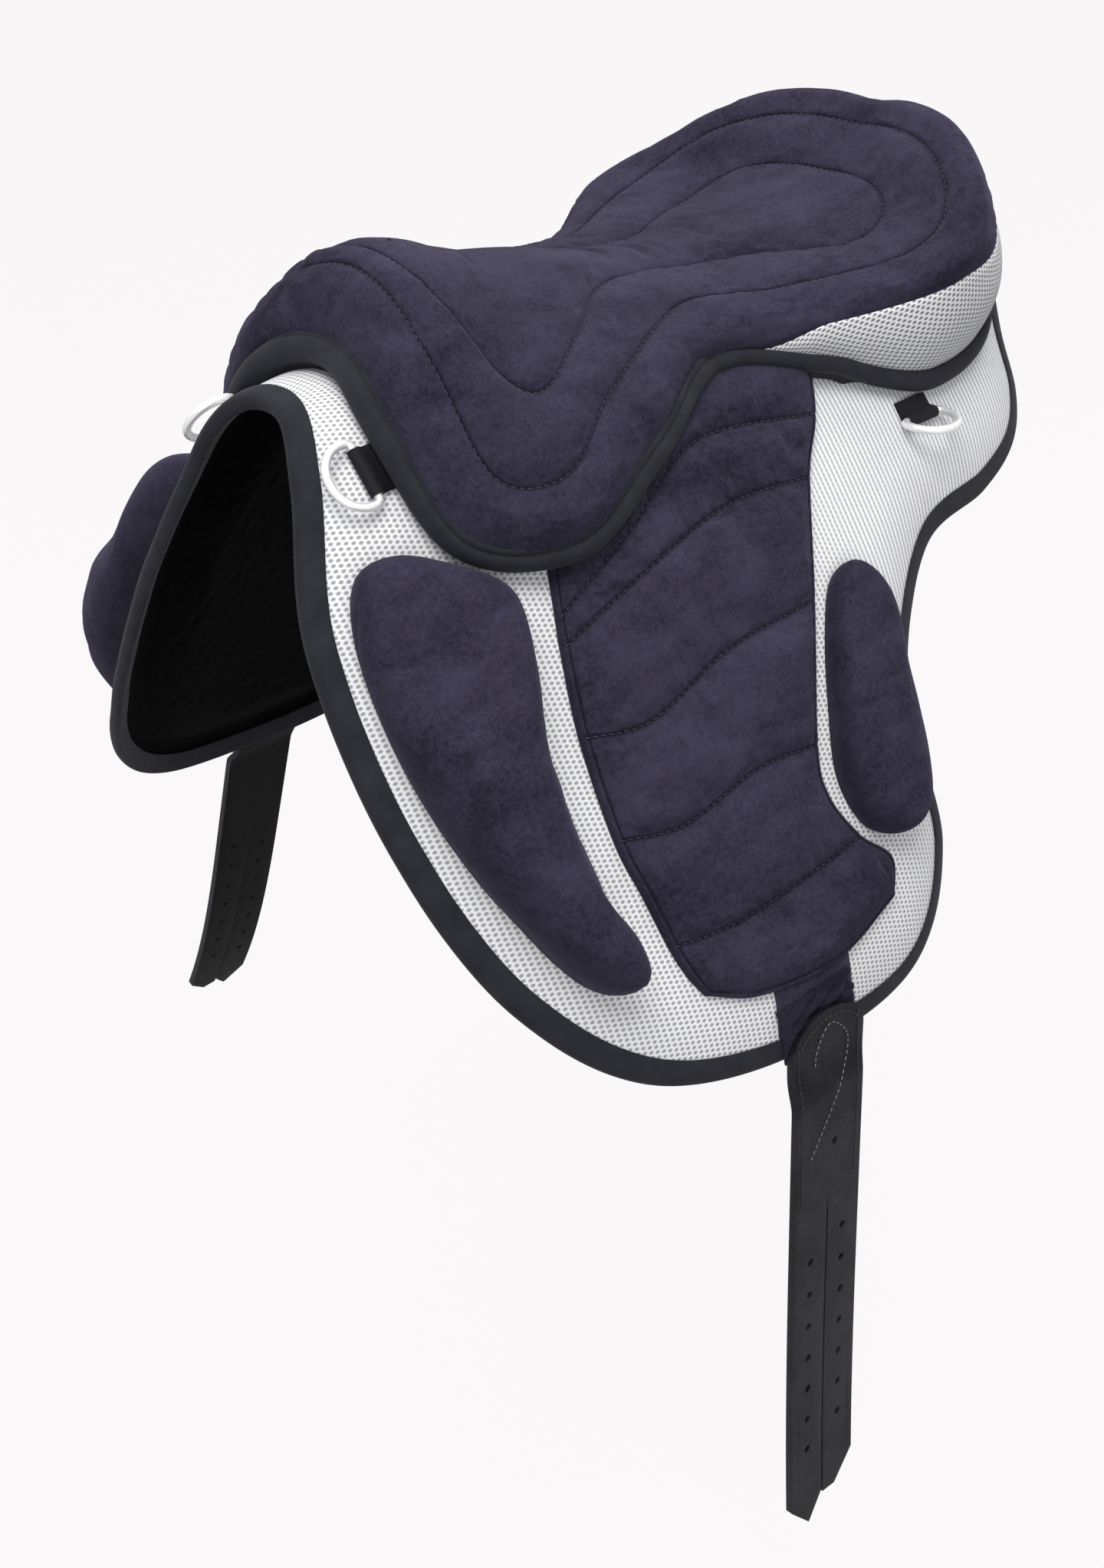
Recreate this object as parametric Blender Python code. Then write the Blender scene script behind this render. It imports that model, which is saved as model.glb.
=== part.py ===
"""Endurance saddle: a soft base with flaps, a padded seat with a cantle, and two girth billets.

Units are metres. +X is the horse's left, -Y its head and +Z is up. The origin is the underside of
the spine channel, half way along the base, where the saddle lies over the horse's spine.
"""

import math

import bmesh
import bpy
import numpy as np
from mathutils import Matrix, Vector

MM = 0.001
GAP = 0.0003
SIDES = {"left": 1, "right": -1}

# Base shell: the outer face of the mesh cover, given as sections across the horse's back.
# Each trio is the value at the front, the middle and the rear of the base.
BASE_LENGTH = 0.540
FLAP_DROP = 0.414
RIDGE_RADIUS = (0.035, 0.070, 0.045)
SIDE_SLOPE = (58.0, 54.0, 58.0)
FLAP_FLARE = (-2.0, 18.0, 9.0)
FLARE_START = 0.100
FLARE_LENGTH = 0.400
RIDGE_POWER = 1.6
SPINE_FALL = 0.006
SPINE_SAG = 0.004

# Towards the edge the outer face rolls over by this much, across this width, and less at the spine
EDGE_ROLL = 0.011
EDGE_ROLL_AT_SPINE = 0.004
EDGE_ROLL_WIDTH = 0.045
EDGE_ROLL_FULL = 0.120

# The plan tables below are drawn for a base 540 long with flaps 414 deep, and are scaled to it.
PLAN = (BASE_LENGTH / 540, FLAP_DROP / 414)

# Outline of the base on that face: (distance behind the front arch, distance down from the spine)
BASE_OUTLINE = (
    (0, 0), (-18, 58), (-43, 130), (-46, 230), (-26, 320), (24, 385), (110, 416), (198, 416),
    (246, 366), (259, 280), (311, 216), (376, 201), (416, 184), (438, 158), (449, 122),
    (469, 80), (487, 40), (492, 0),
)
BASE_FEET = (0.085, 0.400)
BASE_RIBS = 32
RIB_SHARES = (0.0, 0.075, 0.19, 0.40, 0.70, 1.0)
RIB_CROWDING = 0.35

# Layers of the base, outside to inside
COVER_THICKNESS = 0.003
FOAM_THICKNESS = 0.011
FOAM_EDGE = 0.0025
FOAM_INSET = 0.026
FOAM_TAPER = 0.030
LINING_THICKNESS = 0.0065
LINING_EDGE = 0.0040
CHANNEL_HALF = 0.022
CHANNEL_CLOTH = 0.0015
BINDING_WIDTH = 0.010
BINDING_THICKNESS = 0.0012
BINDING_MARGIN = 0.0020
BINDING_PLAY = 0.0012

# Straps sewn across the top of the base
WEBBING_THICKNESS = 0.0022
GIRTH_WEB_WIDTH = 0.050
GIRTH_WEB_TOP = 0.180
GRIP_WIDTH = 0.030
GRIP_PLACE = 0.036
GRIP_RUN = (0.232, 0.385)
STRAP_BENDS = (0.010, 0.020, 0.031, 0.043, 0.058, 0.080, 0.110, 0.150)

# Quilted leg panel: rows from top to bottom, each with whether it is a line of stitching and its
# places (distance back, distance down) from its front end
PANEL_ROWS = (
    (False, ((80, 124), (140, 106), (205, 78), (282, 92))),
    (True, ((67, 165), (121, 142), (181, 116), (262, 128))),
    (True, ((63, 178), (120, 163), (181, 151), (239, 156))),
    (True, ((53, 220), (90, 228), (145, 215), (209, 213))),
    (True, ((48, 271), (84, 280), (136, 274), (176, 279))),
    (False, ((50, 300), (86, 309), (139, 304), (171, 305))),
    (True, ((52, 329), (90, 335), (142, 334), (181, 331))),
    (False, ((55, 346), (90, 356), (141, 360), (196, 350))),
    (False, ((60, 359), (90, 375), (140, 382), (188, 370))),
)
PANEL_LOW = 0.0031
PANEL_SEAM = 0.0020
PANEL_CROWN = 0.0062
PANEL_COLUMNS = 7

# Padded blocks: outline of the foot, going round from the top
KNEE_OUTLINE = (
    (-14, 109), (4, 108), (24, 121), (42, 138), (45, 153), (38, 180), (28, 206), (22, 230),
    (19, 262), (20, 290), (25, 314), (22, 330), (8, 327), (-3, 308), (-12, 282), (-20, 255),
    (-27, 215), (-29, 173), (-25, 133),
)
KNEE_HEIGHT = 0.046
KNEE_TOP_HEIGHT = 0.028
THIGH_OUTLINE = (
    (240, 206), (224, 209), (208, 232), (193, 264), (181, 300), (187, 329), (204, 338),
    (222, 328), (234, 296), (241, 262), (249, 226),
)
THIGH_HEIGHT = 0.026
THIGH_TOP_HEIGHT = 0.018
BLOCK_LOW = 0.0012
BLOCK_POINTS = 24
BLOCK_SPREAD = 0.55
BLOCK_RINGS = (
    (0.3, 0.0), (0.65, 0.0), (1.0, 0.0), (1.05, 0.25), (1.04, 0.55), (0.93, 0.82), (0.68, 0.96),
    (0.3, 1.0),
)

# Seat: guide lines from the front of the pommel round the skirt to the back of the cantle.
# Each point is (distance behind the front arch, distance down from the spine, height over the base).
SEAT_SPINE = (
    (78, 0, 51), (92, 0, 48), (108, 0, 43), (130, 0, 36), (165, 0, 28),
    (210, 0, 17), (262, 0, 11), (320, 0, 12), (365, 0, 18), (385, 0, 22),
)
SEAT_INNER_SEAM = (
    (66, 0, 53), (70, 34, 45), (80, 60, 34), (98, 72, 30), (130, 59, 28),
    (190, 30, 20), (268, 33, 12), (335, 67, 24), (376, 61, 33), (397, 0, 25),
)
SEAT_OUTER_SEAM = (
    (53, 0, 48), (49, 47, 38), (56, 96, 30), (90, 108, 30), (133, 84, 28),
    (205, 62, 24), (268, 85, 31), (340, 128, 70), (385, 107, 77), (423, 0, 46),
)
SEAT_CREST = (
    (43, 0, 37), (37, 50, 28), (48, 106, 25), (88, 124, 28), (142, 99, 27),
    (208, 80, 25), (276, 114, 44), (340, 173, 105), (391, 130, 98), (436, 0, 55),
)
SEAT_COVER_EDGE = (
    (36, 0, 16), (28, 54, 15), (36, 115, 15), (88, 137, 19), (147, 112, 18),
    (211, 88, 17), (281, 132, 50), (346, 179, 100), (406, 140, 84), (452, 0, 34),
)
SEAT_BINDING_TOP = (
    (34, 0, 15), (26, 53, 14), (36, 115, 15), (88, 138, 19), (148, 114, 18),
    (211, 88, 17), (275, 115, 21), (350, 144, 23), (425, 114, 21), (462, 0, 16),
)
SEAT_OUTLINE = (
    (30, 0), (19, 50), (32, 116), (88, 144), (150, 120),
    (210, 91), (275, 112), (350, 141), (424, 110), (460, 0),
)
LEAN_START = 0.160
LEAN_END = 0.280
SEAT_QUILT_RELIEF = 0.0015
SEAT_COVER_THICKNESS = 0.0015
SEAT_LOW = 0.0040
SEAT_OVER_PANEL = 0.0100
SEAT_CLIMB_DOWN = (0.060, 0.086)
SEAT_CLIMB_FRONT = (0.046, 0.076)
SEAT_CLIMB_REAR = (0.286, 0.306)
SEAT_BINDING_BULGE = 0.0034
SEAT_BINDING_LIP = 0.0008
SEAT_STEPS = (4, 3, 2, 2, 2, 2, 3, 3, 4)
GUSSET_START = 14

# D-rings: place of the bar on the base, lift of the ring off the base in degrees
RING_WIRE = 0.0044
RING_BAR = 0.0315
RING_REACH = 0.0210
RING_BEND = 0.0030
TAB_WIDTH = 0.0235
TAB_TONGUE = 0.012
TAB_WALL = 0.0010
FRONT_RING = (0.0115, 0.0655)
FRONT_RING_LIFT = 18.0
REAR_RING = (0.332, 0.1505)
REAR_RING_LIFT = 52.0

# Girth billets: hanger on the flap, then leather with two holed tails
BILLET_PLACE = 0.119
BILLET_WIDTH = 0.050
BILLET_LENGTH = 0.322
BILLET_THICKNESS = 0.0045
BILLET_HEAD = 0.019
BILLET_SPLIT = 0.106
BILLET_SLOT = 0.0012
BILLET_HOLE = 0.0020
BILLET_HOLES = 7
BILLET_HOLE_PITCH = 0.021
BILLET_FIRST_HOLE = 0.134
BILLET_BEND = 0.025
BILLET_SLICE = 0.006
BILLET_HANG = {"left": 4.5, "right": 19.0}
BILLET_CURL = {"left": 2.5, "right": 15.0}
BILLET_DRIFT = {"left": -6.0, "right": -3.0}
HANGER_WIDTH = 0.050
HANGER_THICKNESS = 0.002
HANGER_RUN = (-0.0305, 0.002)


# Curves

def catmull(before, start, end, after, t):
    """Point at t (0 to 1) of the smooth curve from start to end."""
    return 0.5 * (
        2 * start
        + (end - before) * t
        + (2 * before - 5 * start + 4 * end - after) * t**2
        + (3 * start - before - 3 * end + after) * t**3
    )


def smooth_points(points, per_span, closed=False, mirror=None):
    """Points along a smooth curve; mirror gives the reflection that continues it past both ends."""
    known = [np.array(point, float) for point in points]
    if closed:
        known = [known[-1]] + known + known[:2]
    elif mirror is not None:
        known = [known[1] * mirror] + known + [known[-2] * mirror]
    else:
        known = [2 * known[0] - known[1]] + known + [2 * known[-1] - known[-2]]
    found = []
    for span in range(1, len(known) - 2):
        for step in range(per_span):
            found.append(catmull(*known[span - 1 : span + 3], step / per_span))
    if not closed:
        found.append(known[-2])
    return np.array(found)


def even_points(curve, count):
    """The curve's points, spaced evenly along its length in count steps."""
    steps = np.linalg.norm(np.diff(curve, axis=0), axis=1)
    length = np.concatenate([[0], np.cumsum(steps)])
    places = np.linspace(0, length[-1], count + 1)
    return np.stack([np.interp(places, length, column) for column in curve.T], axis=1)


def step_between(low, high, value):
    """Smooth change from 0 at low to 1 at high."""
    t = min(max((value - low) / (high - low), 0.0), 1.0)
    return t * t * (3 - 2 * t)


# Base surface

def section_value(trio, t):
    """Value at t (0 front, 1 rear) of the parabola through the front, middle and rear values."""
    front, middle, rear = trio
    return front * (1 - t) * (1 - 2 * t) + middle * 4 * t * (1 - t) + rear * t * (2 * t - 1)


def outer_point(back, down):
    """Point on the outer face of the base; a negative down is on the right side."""
    t = back / BASE_LENGTH
    held = min(max(t, -0.15), 1.15)
    arc = np.linspace(0, abs(down), 25)
    slope = math.radians(section_value(SIDE_SLOPE, held))
    flare = math.radians(section_value(FLAP_FLARE, held))
    rise = 1 - np.exp(-((arc / section_value(RIDGE_RADIUS, held)) ** RIDGE_POWER))
    angle = slope * rise + flare * np.clip((arc - FLARE_START) / FLARE_LENGTH, 0, 2)
    x = np.trapz(np.cos(angle), arc) * (1 if down >= 0 else -1)
    z = -np.trapz(np.sin(angle), arc) - SPINE_FALL * t - SPINE_SAG * 4 * t * (1 - t)
    return np.array([x, back, z])


CHANNEL_TOP = COVER_THICKNESS + GAP * 3
ORIGIN = outer_point(BASE_LENGTH / 2, 0) - np.array([0, 0, CHANNEL_TOP + CHANNEL_CLOTH])


def face_point(back, down, height):
    """Point at a height over the outer face before its edge is rolled, in the saddle's own frame."""
    step = MM
    along = outer_point(back + step, down) - outer_point(back - step, down)
    across = outer_point(back, down + step) - outer_point(back, down - step)
    normal = np.cross(across, along)
    return outer_point(back, down) + normal / np.linalg.norm(normal) * height - ORIGIN


def edge_drop(back, down):
    """How far the outer face has rolled over at a place: more beyond the outline than within it."""
    place = np.array([back, abs(down)])
    start, run = BASE_EDGE[:-1], np.diff(BASE_EDGE, axis=0)
    share = np.clip(((place - start) * run).sum(axis=1) / (run**2).sum(axis=1), 0, 1)
    apart = place - start - run * share[:, None]
    gaps = np.linalg.norm(apart, axis=1)
    k = int(np.argmin(gaps))
    inset = math.copysign(gaps[k], apart[k] @ (BASE_INWARD[k] + BASE_INWARD[k + 1]))
    beside = step_between(0, EDGE_ROLL_FULL, abs(down))
    depth = EDGE_ROLL_AT_SPINE + (EDGE_ROLL - EDGE_ROLL_AT_SPINE) * beside
    return depth * max(1 - inset / EDGE_ROLL_WIDTH, 0) ** 2


def base_point(back, down, height):
    """Point at a height over the outer face of the base, in the saddle's own frame."""
    return face_point(back, down, height - edge_drop(back, down))


def base_axes(back, down):
    """Unit vectors on the base there: rearward, down the flap, and out of the face."""
    rearward = base_point(back + MM, down, 0) - base_point(back - MM, down, 0)
    downward = base_point(back, down + MM, 0) - base_point(back, down - MM, 0)
    rearward /= np.linalg.norm(rearward)
    downward -= rearward * downward.dot(rearward)
    downward /= np.linalg.norm(downward)
    return rearward, downward, np.cross(downward, rearward)


# Meshes

def material(name, colour, roughness, metallic=0.0):
    """A Principled material, made once for each name."""
    made = bpy.data.materials.get(name)
    if made is None:
        made = bpy.data.materials.new(name)
        made.use_nodes = True
        shader = made.node_tree.nodes["Principled BSDF"]
        shader.inputs["Base Color"].default_value = (*colour, 1)
        shader.inputs["Roughness"].default_value = roughness
        shader.inputs["Metallic"].default_value = metallic
    return made


def suede():
    return material("suede", (0.030, 0.027, 0.045), 0.90)


def spacer_mesh():
    return material("spacer_mesh", (0.62, 0.62, 0.64), 0.75)


def binding_tape():
    return material("binding_tape", (0.035, 0.037, 0.042), 0.80)


def fleece():
    return material("fleece", (0.006, 0.006, 0.006), 0.95)


def foam():
    return material("foam", (0.55, 0.53, 0.45), 0.90)


def webbing():
    return material("webbing", (0.012, 0.012, 0.014), 0.70)


def leather():
    return material("leather", (0.014, 0.014, 0.016), 0.50)


def steel():
    return material("steel", (0.78, 0.78, 0.80), 0.22, 1.0)


def add_object(name, mesh_data, finish, smooth=True):
    """Turns a finished bmesh into a named object with its material."""
    bmesh.ops.recalc_face_normals(mesh_data, faces=mesh_data.faces)
    if mesh_data.calc_volume(signed=True) < 0:
        bmesh.ops.reverse_faces(mesh_data, faces=mesh_data.faces)
    mesh = bpy.data.meshes.new(name)
    mesh_data.to_mesh(mesh)
    mesh_data.free()
    mesh.materials.append(finish)
    made = bpy.data.objects.new(name, mesh)
    bpy.context.scene.collection.objects.link(made)
    if smooth:
        mesh.shade_smooth()
        mesh.set_sharp_from_angle(angle=math.radians(50))
    return made


def add_layer(name, low, high, faces, finish):
    """A closed solid between two copies of one surface, walled along its open edges."""
    made = bmesh.new()
    used = sorted({corner for face in faces for corner in face})
    floor = {k: made.verts.new(low[k]) for k in used}
    roof = {k: made.verts.new(high[k]) for k in used}
    directed = set()
    for face in faces:
        made.faces.new([roof[k] for k in face])
        made.faces.new([floor[k] for k in reversed(face)])
        directed.update(zip(face, face[1:] + face[:1]))
    for a, b in sorted(directed):
        if (b, a) not in directed:
            made.faces.new([roof[b], roof[a], floor[a], floor[b]])
    return add_object(name, made, finish)


def set_origin(made, point):
    """Moves an object's origin to a point without moving its shape."""
    made.data.transform(Matrix.Translation(-Vector(point)))
    made.location = point


class Sheet:
    """Triangles over named corners, each corner held once. Quads split alike on both sides."""

    def __init__(self):
        self.corners = []
        self.index = {}
        self.faces = []

    def corner(self, key):
        """The number of a corner, added at its first use."""
        if key not in self.index:
            self.index[key] = len(self.corners)
            self.corners.append(key)
        return self.index[key]

    def quad(self, keys, side=1, turned=False):
        """Two triangles over four corners, seen anticlockwise on the left side."""
        a, b, c, d = (self.corner(key) for key in keys)
        for face in ((a, b, d), (b, c, d)) if turned else ((a, b, c), (a, c, d)):
            if len(set(face)) == 3:
                self.faces.append(list(face) if side > 0 else list(face[::-1]))


def grid_faces(rows, columns, flipped=False):
    """Triangles of a plain grid whose rows run to the rear and whose columns run to the left."""
    sheet = Sheet()
    for key in [(i, j) for i in range(rows) for j in range(columns)]:
        sheet.corner(key)
    for i in range(rows - 1):
        for j in range(columns - 1):
            keys = [(i, j), (i, j + 1), (i + 1, j + 1), (i + 1, j)]
            sheet.quad(keys, -1 if flipped else 1)
    return sheet.faces


def vertex_normals(points, faces):
    """Unit normal at each point, averaged over the faces around it."""
    total = np.zeros((len(points), 3))
    for a, b, c in faces:
        normal = np.cross(points[b] - points[a], points[c] - points[a])
        for k in (a, b, c):
            total[k] += normal
    return total / np.maximum(np.linalg.norm(total, axis=1, keepdims=True), 1e-12)


def add_ring_band(name, sections, finish):
    """A closed band from sections of equal count that follow one another round a loop."""
    made = bmesh.new()
    rings = [[made.verts.new(point) for point in section] for section in sections]
    count = len(rings[0])
    for a, b in zip(rings, rings[1:] + rings[:1]):
        for k in range(count):
            n = (k + 1) % count
            made.faces.new([a[k], a[n], b[n], b[k]])
    return add_object(name, made, finish)


# Base

def cut_outline():
    """Half of the base outline from the channel line round to it again, crowded at its ends."""
    dense = smooth_points(np.array(BASE_OUTLINE) * PLAN, 12, mirror=np.array([1, -1]))
    steps = np.linalg.norm(np.diff(dense, axis=0), axis=1)
    length = np.concatenate([[0], np.cumsum(steps)])
    half = len(dense) // 2
    first = np.interp(CHANNEL_HALF, dense[:half, 1], length[:half])
    last = np.interp(-CHANNEL_HALF, -dense[half:, 1], length[half:])
    even = np.linspace(0, 1, BASE_RIBS + 1)
    crowded = even - RIB_CROWDING * np.sin(2 * math.pi * even) / (2 * math.pi)
    middle = first * np.arange(CHANNEL_STEPS) / CHANNEL_STEPS
    middle_end = (length[-1] - last) * np.arange(CHANNEL_STEPS) / CHANNEL_STEPS
    places = np.concatenate(
        [middle, first + (last - first) * crowded, length[-1] - middle_end[::-1]]
    )
    return np.stack([np.interp(places, length, column) for column in dense.T], axis=1)


def inward(points):
    """Unit vectors pointing into a half outline at its points, on the unrolled base."""
    ghost = np.concatenate([points[1:2] * (1, -1), points, points[-2:-1] * (1, -1)])
    along = ghost[2:] - ghost[:-2]
    turned = np.stack([along[:, 1], -along[:, 0]], axis=1)
    return turned / np.linalg.norm(turned, axis=1, keepdims=True)


# The outline's first and last few points lie over the channel, and the rest end the ribs.
CHANNEL_STEPS = 2
BASE_EDGE = cut_outline()
BASE_INWARD = inward(BASE_EDGE)


def foam_reach(i):
    """Where the full depth of foam ends on rib i, and where it leaves the channel."""
    share = (i / BASE_RIBS) ** 1.25
    foot = np.array([BASE_FEET[0] + (BASE_FEET[1] - BASE_FEET[0]) * share, CHANNEL_HALF])
    end = edge_place(i, FOAM_INSET)
    length = np.linalg.norm(end - foot)
    return foot, foot + (end - foot) * (1 - FOAM_TAPER / length)


def edge_place(i, inset):
    """Point of the unrolled base at the end of rib i, drawn in from the outline."""
    place = BASE_EDGE[i + CHANNEL_STEPS] + BASE_INWARD[i + CHANNEL_STEPS] * inset
    return np.array([place[0], max(place[1], CHANNEL_HALF)])


FOAM_FULL = len(RIB_SHARES) - 1
FOAM_END = FOAM_FULL + 1
TAPE_END = FOAM_FULL + 2
EDGE_END = FOAM_FULL + 3


def rib_place(i, j):
    """Place of column j on rib i: inner columns, the end of the foam, the tape and the edge."""
    if j <= FOAM_FULL:
        foot, full = foam_reach(i)
        return foot + (full - foot) * RIB_SHARES[j]
    insets = {
        FOAM_END: FOAM_INSET, TAPE_END: BINDING_WIDTH + BINDING_MARGIN, EDGE_END: 0.0,
    }
    return edge_place(i, insets[j])


class BaseSheet(Sheet):
    """Part of the unrolled base: its corners are (back, down, column)."""

    def add_fan(self, side, last):
        """The ribs of one side, from the channel out to column last."""
        for i in range(BASE_RIBS):
            for j in range(last):
                around = [(i, j), (i, j + 1), (i + 1, j + 1), (i + 1, j)]
                self.quad([self.on_rib(side, *pair) for pair in around], side)

    def on_rib(self, side, i, j):
        back, down = rib_place(i, j)
        return round(back, 6), round(side * down, 6), j

    def add_channel(self, last, half, every=1):
        """The strip over the spine between the two fans, out to column last at both ends."""
        for side in (1, -1):
            rows = [self.on_rib(side, 0, j) for j in range(last, 0, -1)]
            rows += [self.on_rib(side, i, 0) for i in range(BASE_RIBS + 1)]
            rows += [self.on_rib(side, BASE_RIBS, j) for j in range(1, last + 1)]
            rows = rows[:-1:every] + rows[-1:]
            for a, b in zip(rows, rows[1:]):
                for inner, outer in ((0.0, 0.5), (0.5, 1.0)):
                    corners = [(a, inner), (a, outer), (b, outer), (b, inner)]
                    self.quad([self.over_spine(*c, side, half, last) for c in corners], side)

    def over_spine(self, row, share, side, half, last):
        """A corner of the strip, on the outline where its row lies there."""
        back, down, column = row
        if share == 1.0 and half == CHANNEL_HALF:
            return row
        if column == EDGE_END == last:
            steps = round(share * CHANNEL_STEPS)
            place = BASE_EDGE[steps if back < BASE_FEET[0] else -1 - steps]
            back = place[0]
        return round(back, 6), round(side * half * share, 6), column

    def lifted(self, height):
        """The corners as points; height(column) is over the outer face."""
        return [base_point(back, down, height(column)) for back, down, column in self.corners]


PAD_TOP = COVER_THICKNESS + GAP * 1.5


def foam_bottom(column):
    """Depth of the foam's lower face: full up to the taper, thin at its end."""
    return PAD_TOP + (FOAM_THICKNESS if column <= FOAM_FULL else FOAM_EDGE)


def lining_top(column):
    return foam_bottom(column) + GAP * 1.5 if column <= FOAM_END else PAD_TOP


def lining_bottom(column):
    return lining_top(column) + (LINING_THICKNESS if column <= FOAM_END else LINING_EDGE)


def add_base_layers():
    """Mesh cover over the whole base, channel cloth over the spine, foam and lining each side."""
    cover = BaseSheet()
    for side in SIDES.values():
        cover.add_fan(side, EDGE_END)
    cover.add_channel(EDGE_END, CHANNEL_HALF)
    low, high = cover.lifted(lambda j: -COVER_THICKNESS), cover.lifted(lambda j: 0.0)
    add_layer("base_mesh_cover", low, high, cover.faces, spacer_mesh())
    cloth = BaseSheet()
    cloth.add_channel(TAPE_END, CHANNEL_HALF - CHANNEL_CLOTH, every=2)
    low = cloth.lifted(lambda j: -CHANNEL_TOP - CHANNEL_CLOTH)
    high = cloth.lifted(lambda j: -CHANNEL_TOP)
    add_layer("spine_channel_cloth", low, high, cloth.faces, fleece())
    for side_name, side in SIDES.items():
        pad = BaseSheet()
        pad.add_fan(side, FOAM_END)
        low, high = pad.lifted(lambda j: -foam_bottom(j)), pad.lifted(lambda j: -PAD_TOP)
        add_layer(f"base_foam_{side_name}", low, high, pad.faces, foam())
        lining = BaseSheet()
        lining.add_fan(side, EDGE_END)
        low = lining.lifted(lambda j: -lining_bottom(j))
        high = lining.lifted(lambda j: -lining_top(j))
        add_layer(f"fleece_lining_{side_name}", low, high, lining.faces, fleece())


def both_sides(last):
    """Numbers 0 to last with their side, then back again on the other side, as a closed loop."""
    return [(k, 1) for k in range(last + 1)] + [(k, -1) for k in range(last - 1, 0, -1)]


def add_base_binding():
    """Tape folded round the whole edge of the base."""
    stack = lining_bottom(EDGE_END)
    play = BINDING_PLAY
    out = BINDING_THICKNESS + play
    profile = (
        (BINDING_WIDTH, play), (BINDING_WIDTH, out), (0, out), (-out, 0), (-out, -stack),
        (0, -stack - out), (BINDING_WIDTH, -stack - out), (BINDING_WIDTH, -stack - play),
        (-play, -stack - play), (-play, play),
    )
    sections = []
    for k, side in both_sides(len(BASE_EDGE) - 1):
        section = []
        for inset, height in profile:
            back, down = BASE_EDGE[k] + BASE_INWARD[k] * inset
            section.append(base_point(back, down, height) * (side, 1, 1))
        sections.append(section)
    add_ring_band("base_binding", sections, binding_tape())


# Straps and grips on top of the base

def add_strip(name, centre_line, width, low, high, finish):
    """A flat strap over the base; centre_line lists (back, down) places along it."""
    line = np.array(centre_line)
    along = np.gradient(line, axis=0)
    across = np.stack([along[:, 1], -along[:, 0]], axis=1)
    across /= np.linalg.norm(across, axis=1, keepdims=True)
    shares = np.linspace(-0.5, 0.5, 3)
    places = [p + w * width * share for p, w in zip(line, across) for share in shares]
    floor = [base_point(*place, low) for place in places]
    roof = [base_point(*place, high) for place in places]
    return add_layer(name, floor, roof, grid_faces(len(line), 3), finish)


def strap_downs(end):
    """Distances down from one end of a strap to the other, closer together over the spine."""
    half = list(STRAP_BENDS) + list(np.linspace(STRAP_BENDS[-1], end - EDGE_ROLL_WIDTH, 6)[1:])
    half += list(np.linspace(half[-1], end, 6)[1:])
    return [-down for down in reversed(half)] + [0.0] + half


WEBBING_LOW = GAP * 2
WEBBING_TOP = WEBBING_LOW + WEBBING_THICKNESS


def add_over_straps():
    end = flap_edge_down() - BINDING_WIDTH - BINDING_MARGIN
    line = []
    for down in strap_downs(end):
        share = abs(down) / end
        line.append((GIRTH_WEB_TOP + (BILLET_PLACE - GIRTH_WEB_TOP) * share, down))
    add_strip("girth_webbing", line, GIRTH_WEB_WIDTH, WEBBING_LOW, WEBBING_TOP, webbing())
    for side_name, side in SIDES.items():
        line = [(back, side * GRIP_PLACE) for back in np.linspace(*GRIP_RUN, 7)]
        name = f"hook_strip_{side_name}"
        add_strip(name, line, GRIP_WIDTH, WEBBING_LOW, WEBBING_TOP, webbing())


# Quilted leg panels and blocks

def add_quilted_panel(side_name, side):
    """Leg panel with sewn channels between its rows of stitching."""
    rows = [
        even_points(smooth_points(np.array(row) * PLAN, 6), PANEL_COLUMNS) for _, row in PANEL_ROWS
    ]
    between = 3
    places, heights = [], []
    for k, row in enumerate(rows):
        hem = k in (0, len(rows) - 1)
        places.append(row)
        heights.append(PANEL_SEAM if hem or PANEL_ROWS[k][0] else PANEL_CROWN)
        if k + 1 < len(rows):
            for step in range(1, between):
                share = step / between
                places.append(row * (1 - share) + rows[k + 1] * share)
                heights.append(PANEL_CROWN)
    low, high = [], []
    for row, height in zip(places, heights):
        for column, (back, down) in enumerate(row):
            edge = column in (0, PANEL_COLUMNS)
            top = PANEL_LOW + (PANEL_SEAM if edge else height)
            low.append(base_point(back, down, PANEL_LOW) * (side, 1, 1))
            high.append(base_point(back, down, top) * (side, 1, 1))
    faces = grid_faces(len(places), PANEL_COLUMNS + 1, flipped=side > 0)
    add_layer(f"quilted_panel_{side_name}", low, high, faces, suede())


def add_block(name, outline, height, top_height, side):
    """A padded block sewn on the base: crowned, with its sides drawn in at the seam."""
    curve = smooth_points(np.array(outline) * PLAN, 8, closed=True)
    loop = even_points(np.concatenate([curve, curve[:1]]), BLOCK_POINTS)[:-1]
    centre = loop.mean(axis=0)
    spread = np.linalg.svd(loop - centre)[2][0]
    reach = (loop - centre) @ spread
    feet = centre + np.outer(reach * BLOCK_SPREAD, spread)
    downs = loop[:, 1]
    made = bmesh.new()
    previous = None
    for scale, share in BLOCK_RINGS:
        ring = []
        for place, foot, down in zip(loop, feet, downs):
            grown = step_between(downs.min(), downs.min() + 0.6 * np.ptp(downs), down)
            top = top_height + (height - top_height) * grown
            back, low = foot + (place - foot) * scale
            point = base_point(back, low, BLOCK_LOW + top * share) * (side, 1, 1)
            ring.append(made.verts.new(point))
        if previous:
            for k in range(len(ring)):
                n = (k + 1) % len(ring)
                made.faces.new([previous[k], previous[n], ring[n], ring[k]])
        else:
            bottom = ring
        previous = ring
    for ring in (bottom, previous):
        made.faces.new(ring)
    bmesh.ops.triangulate(made, faces=[face for face in made.faces if len(face.verts) > 4])
    add_object(name, made, suede())


# Seat

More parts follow.
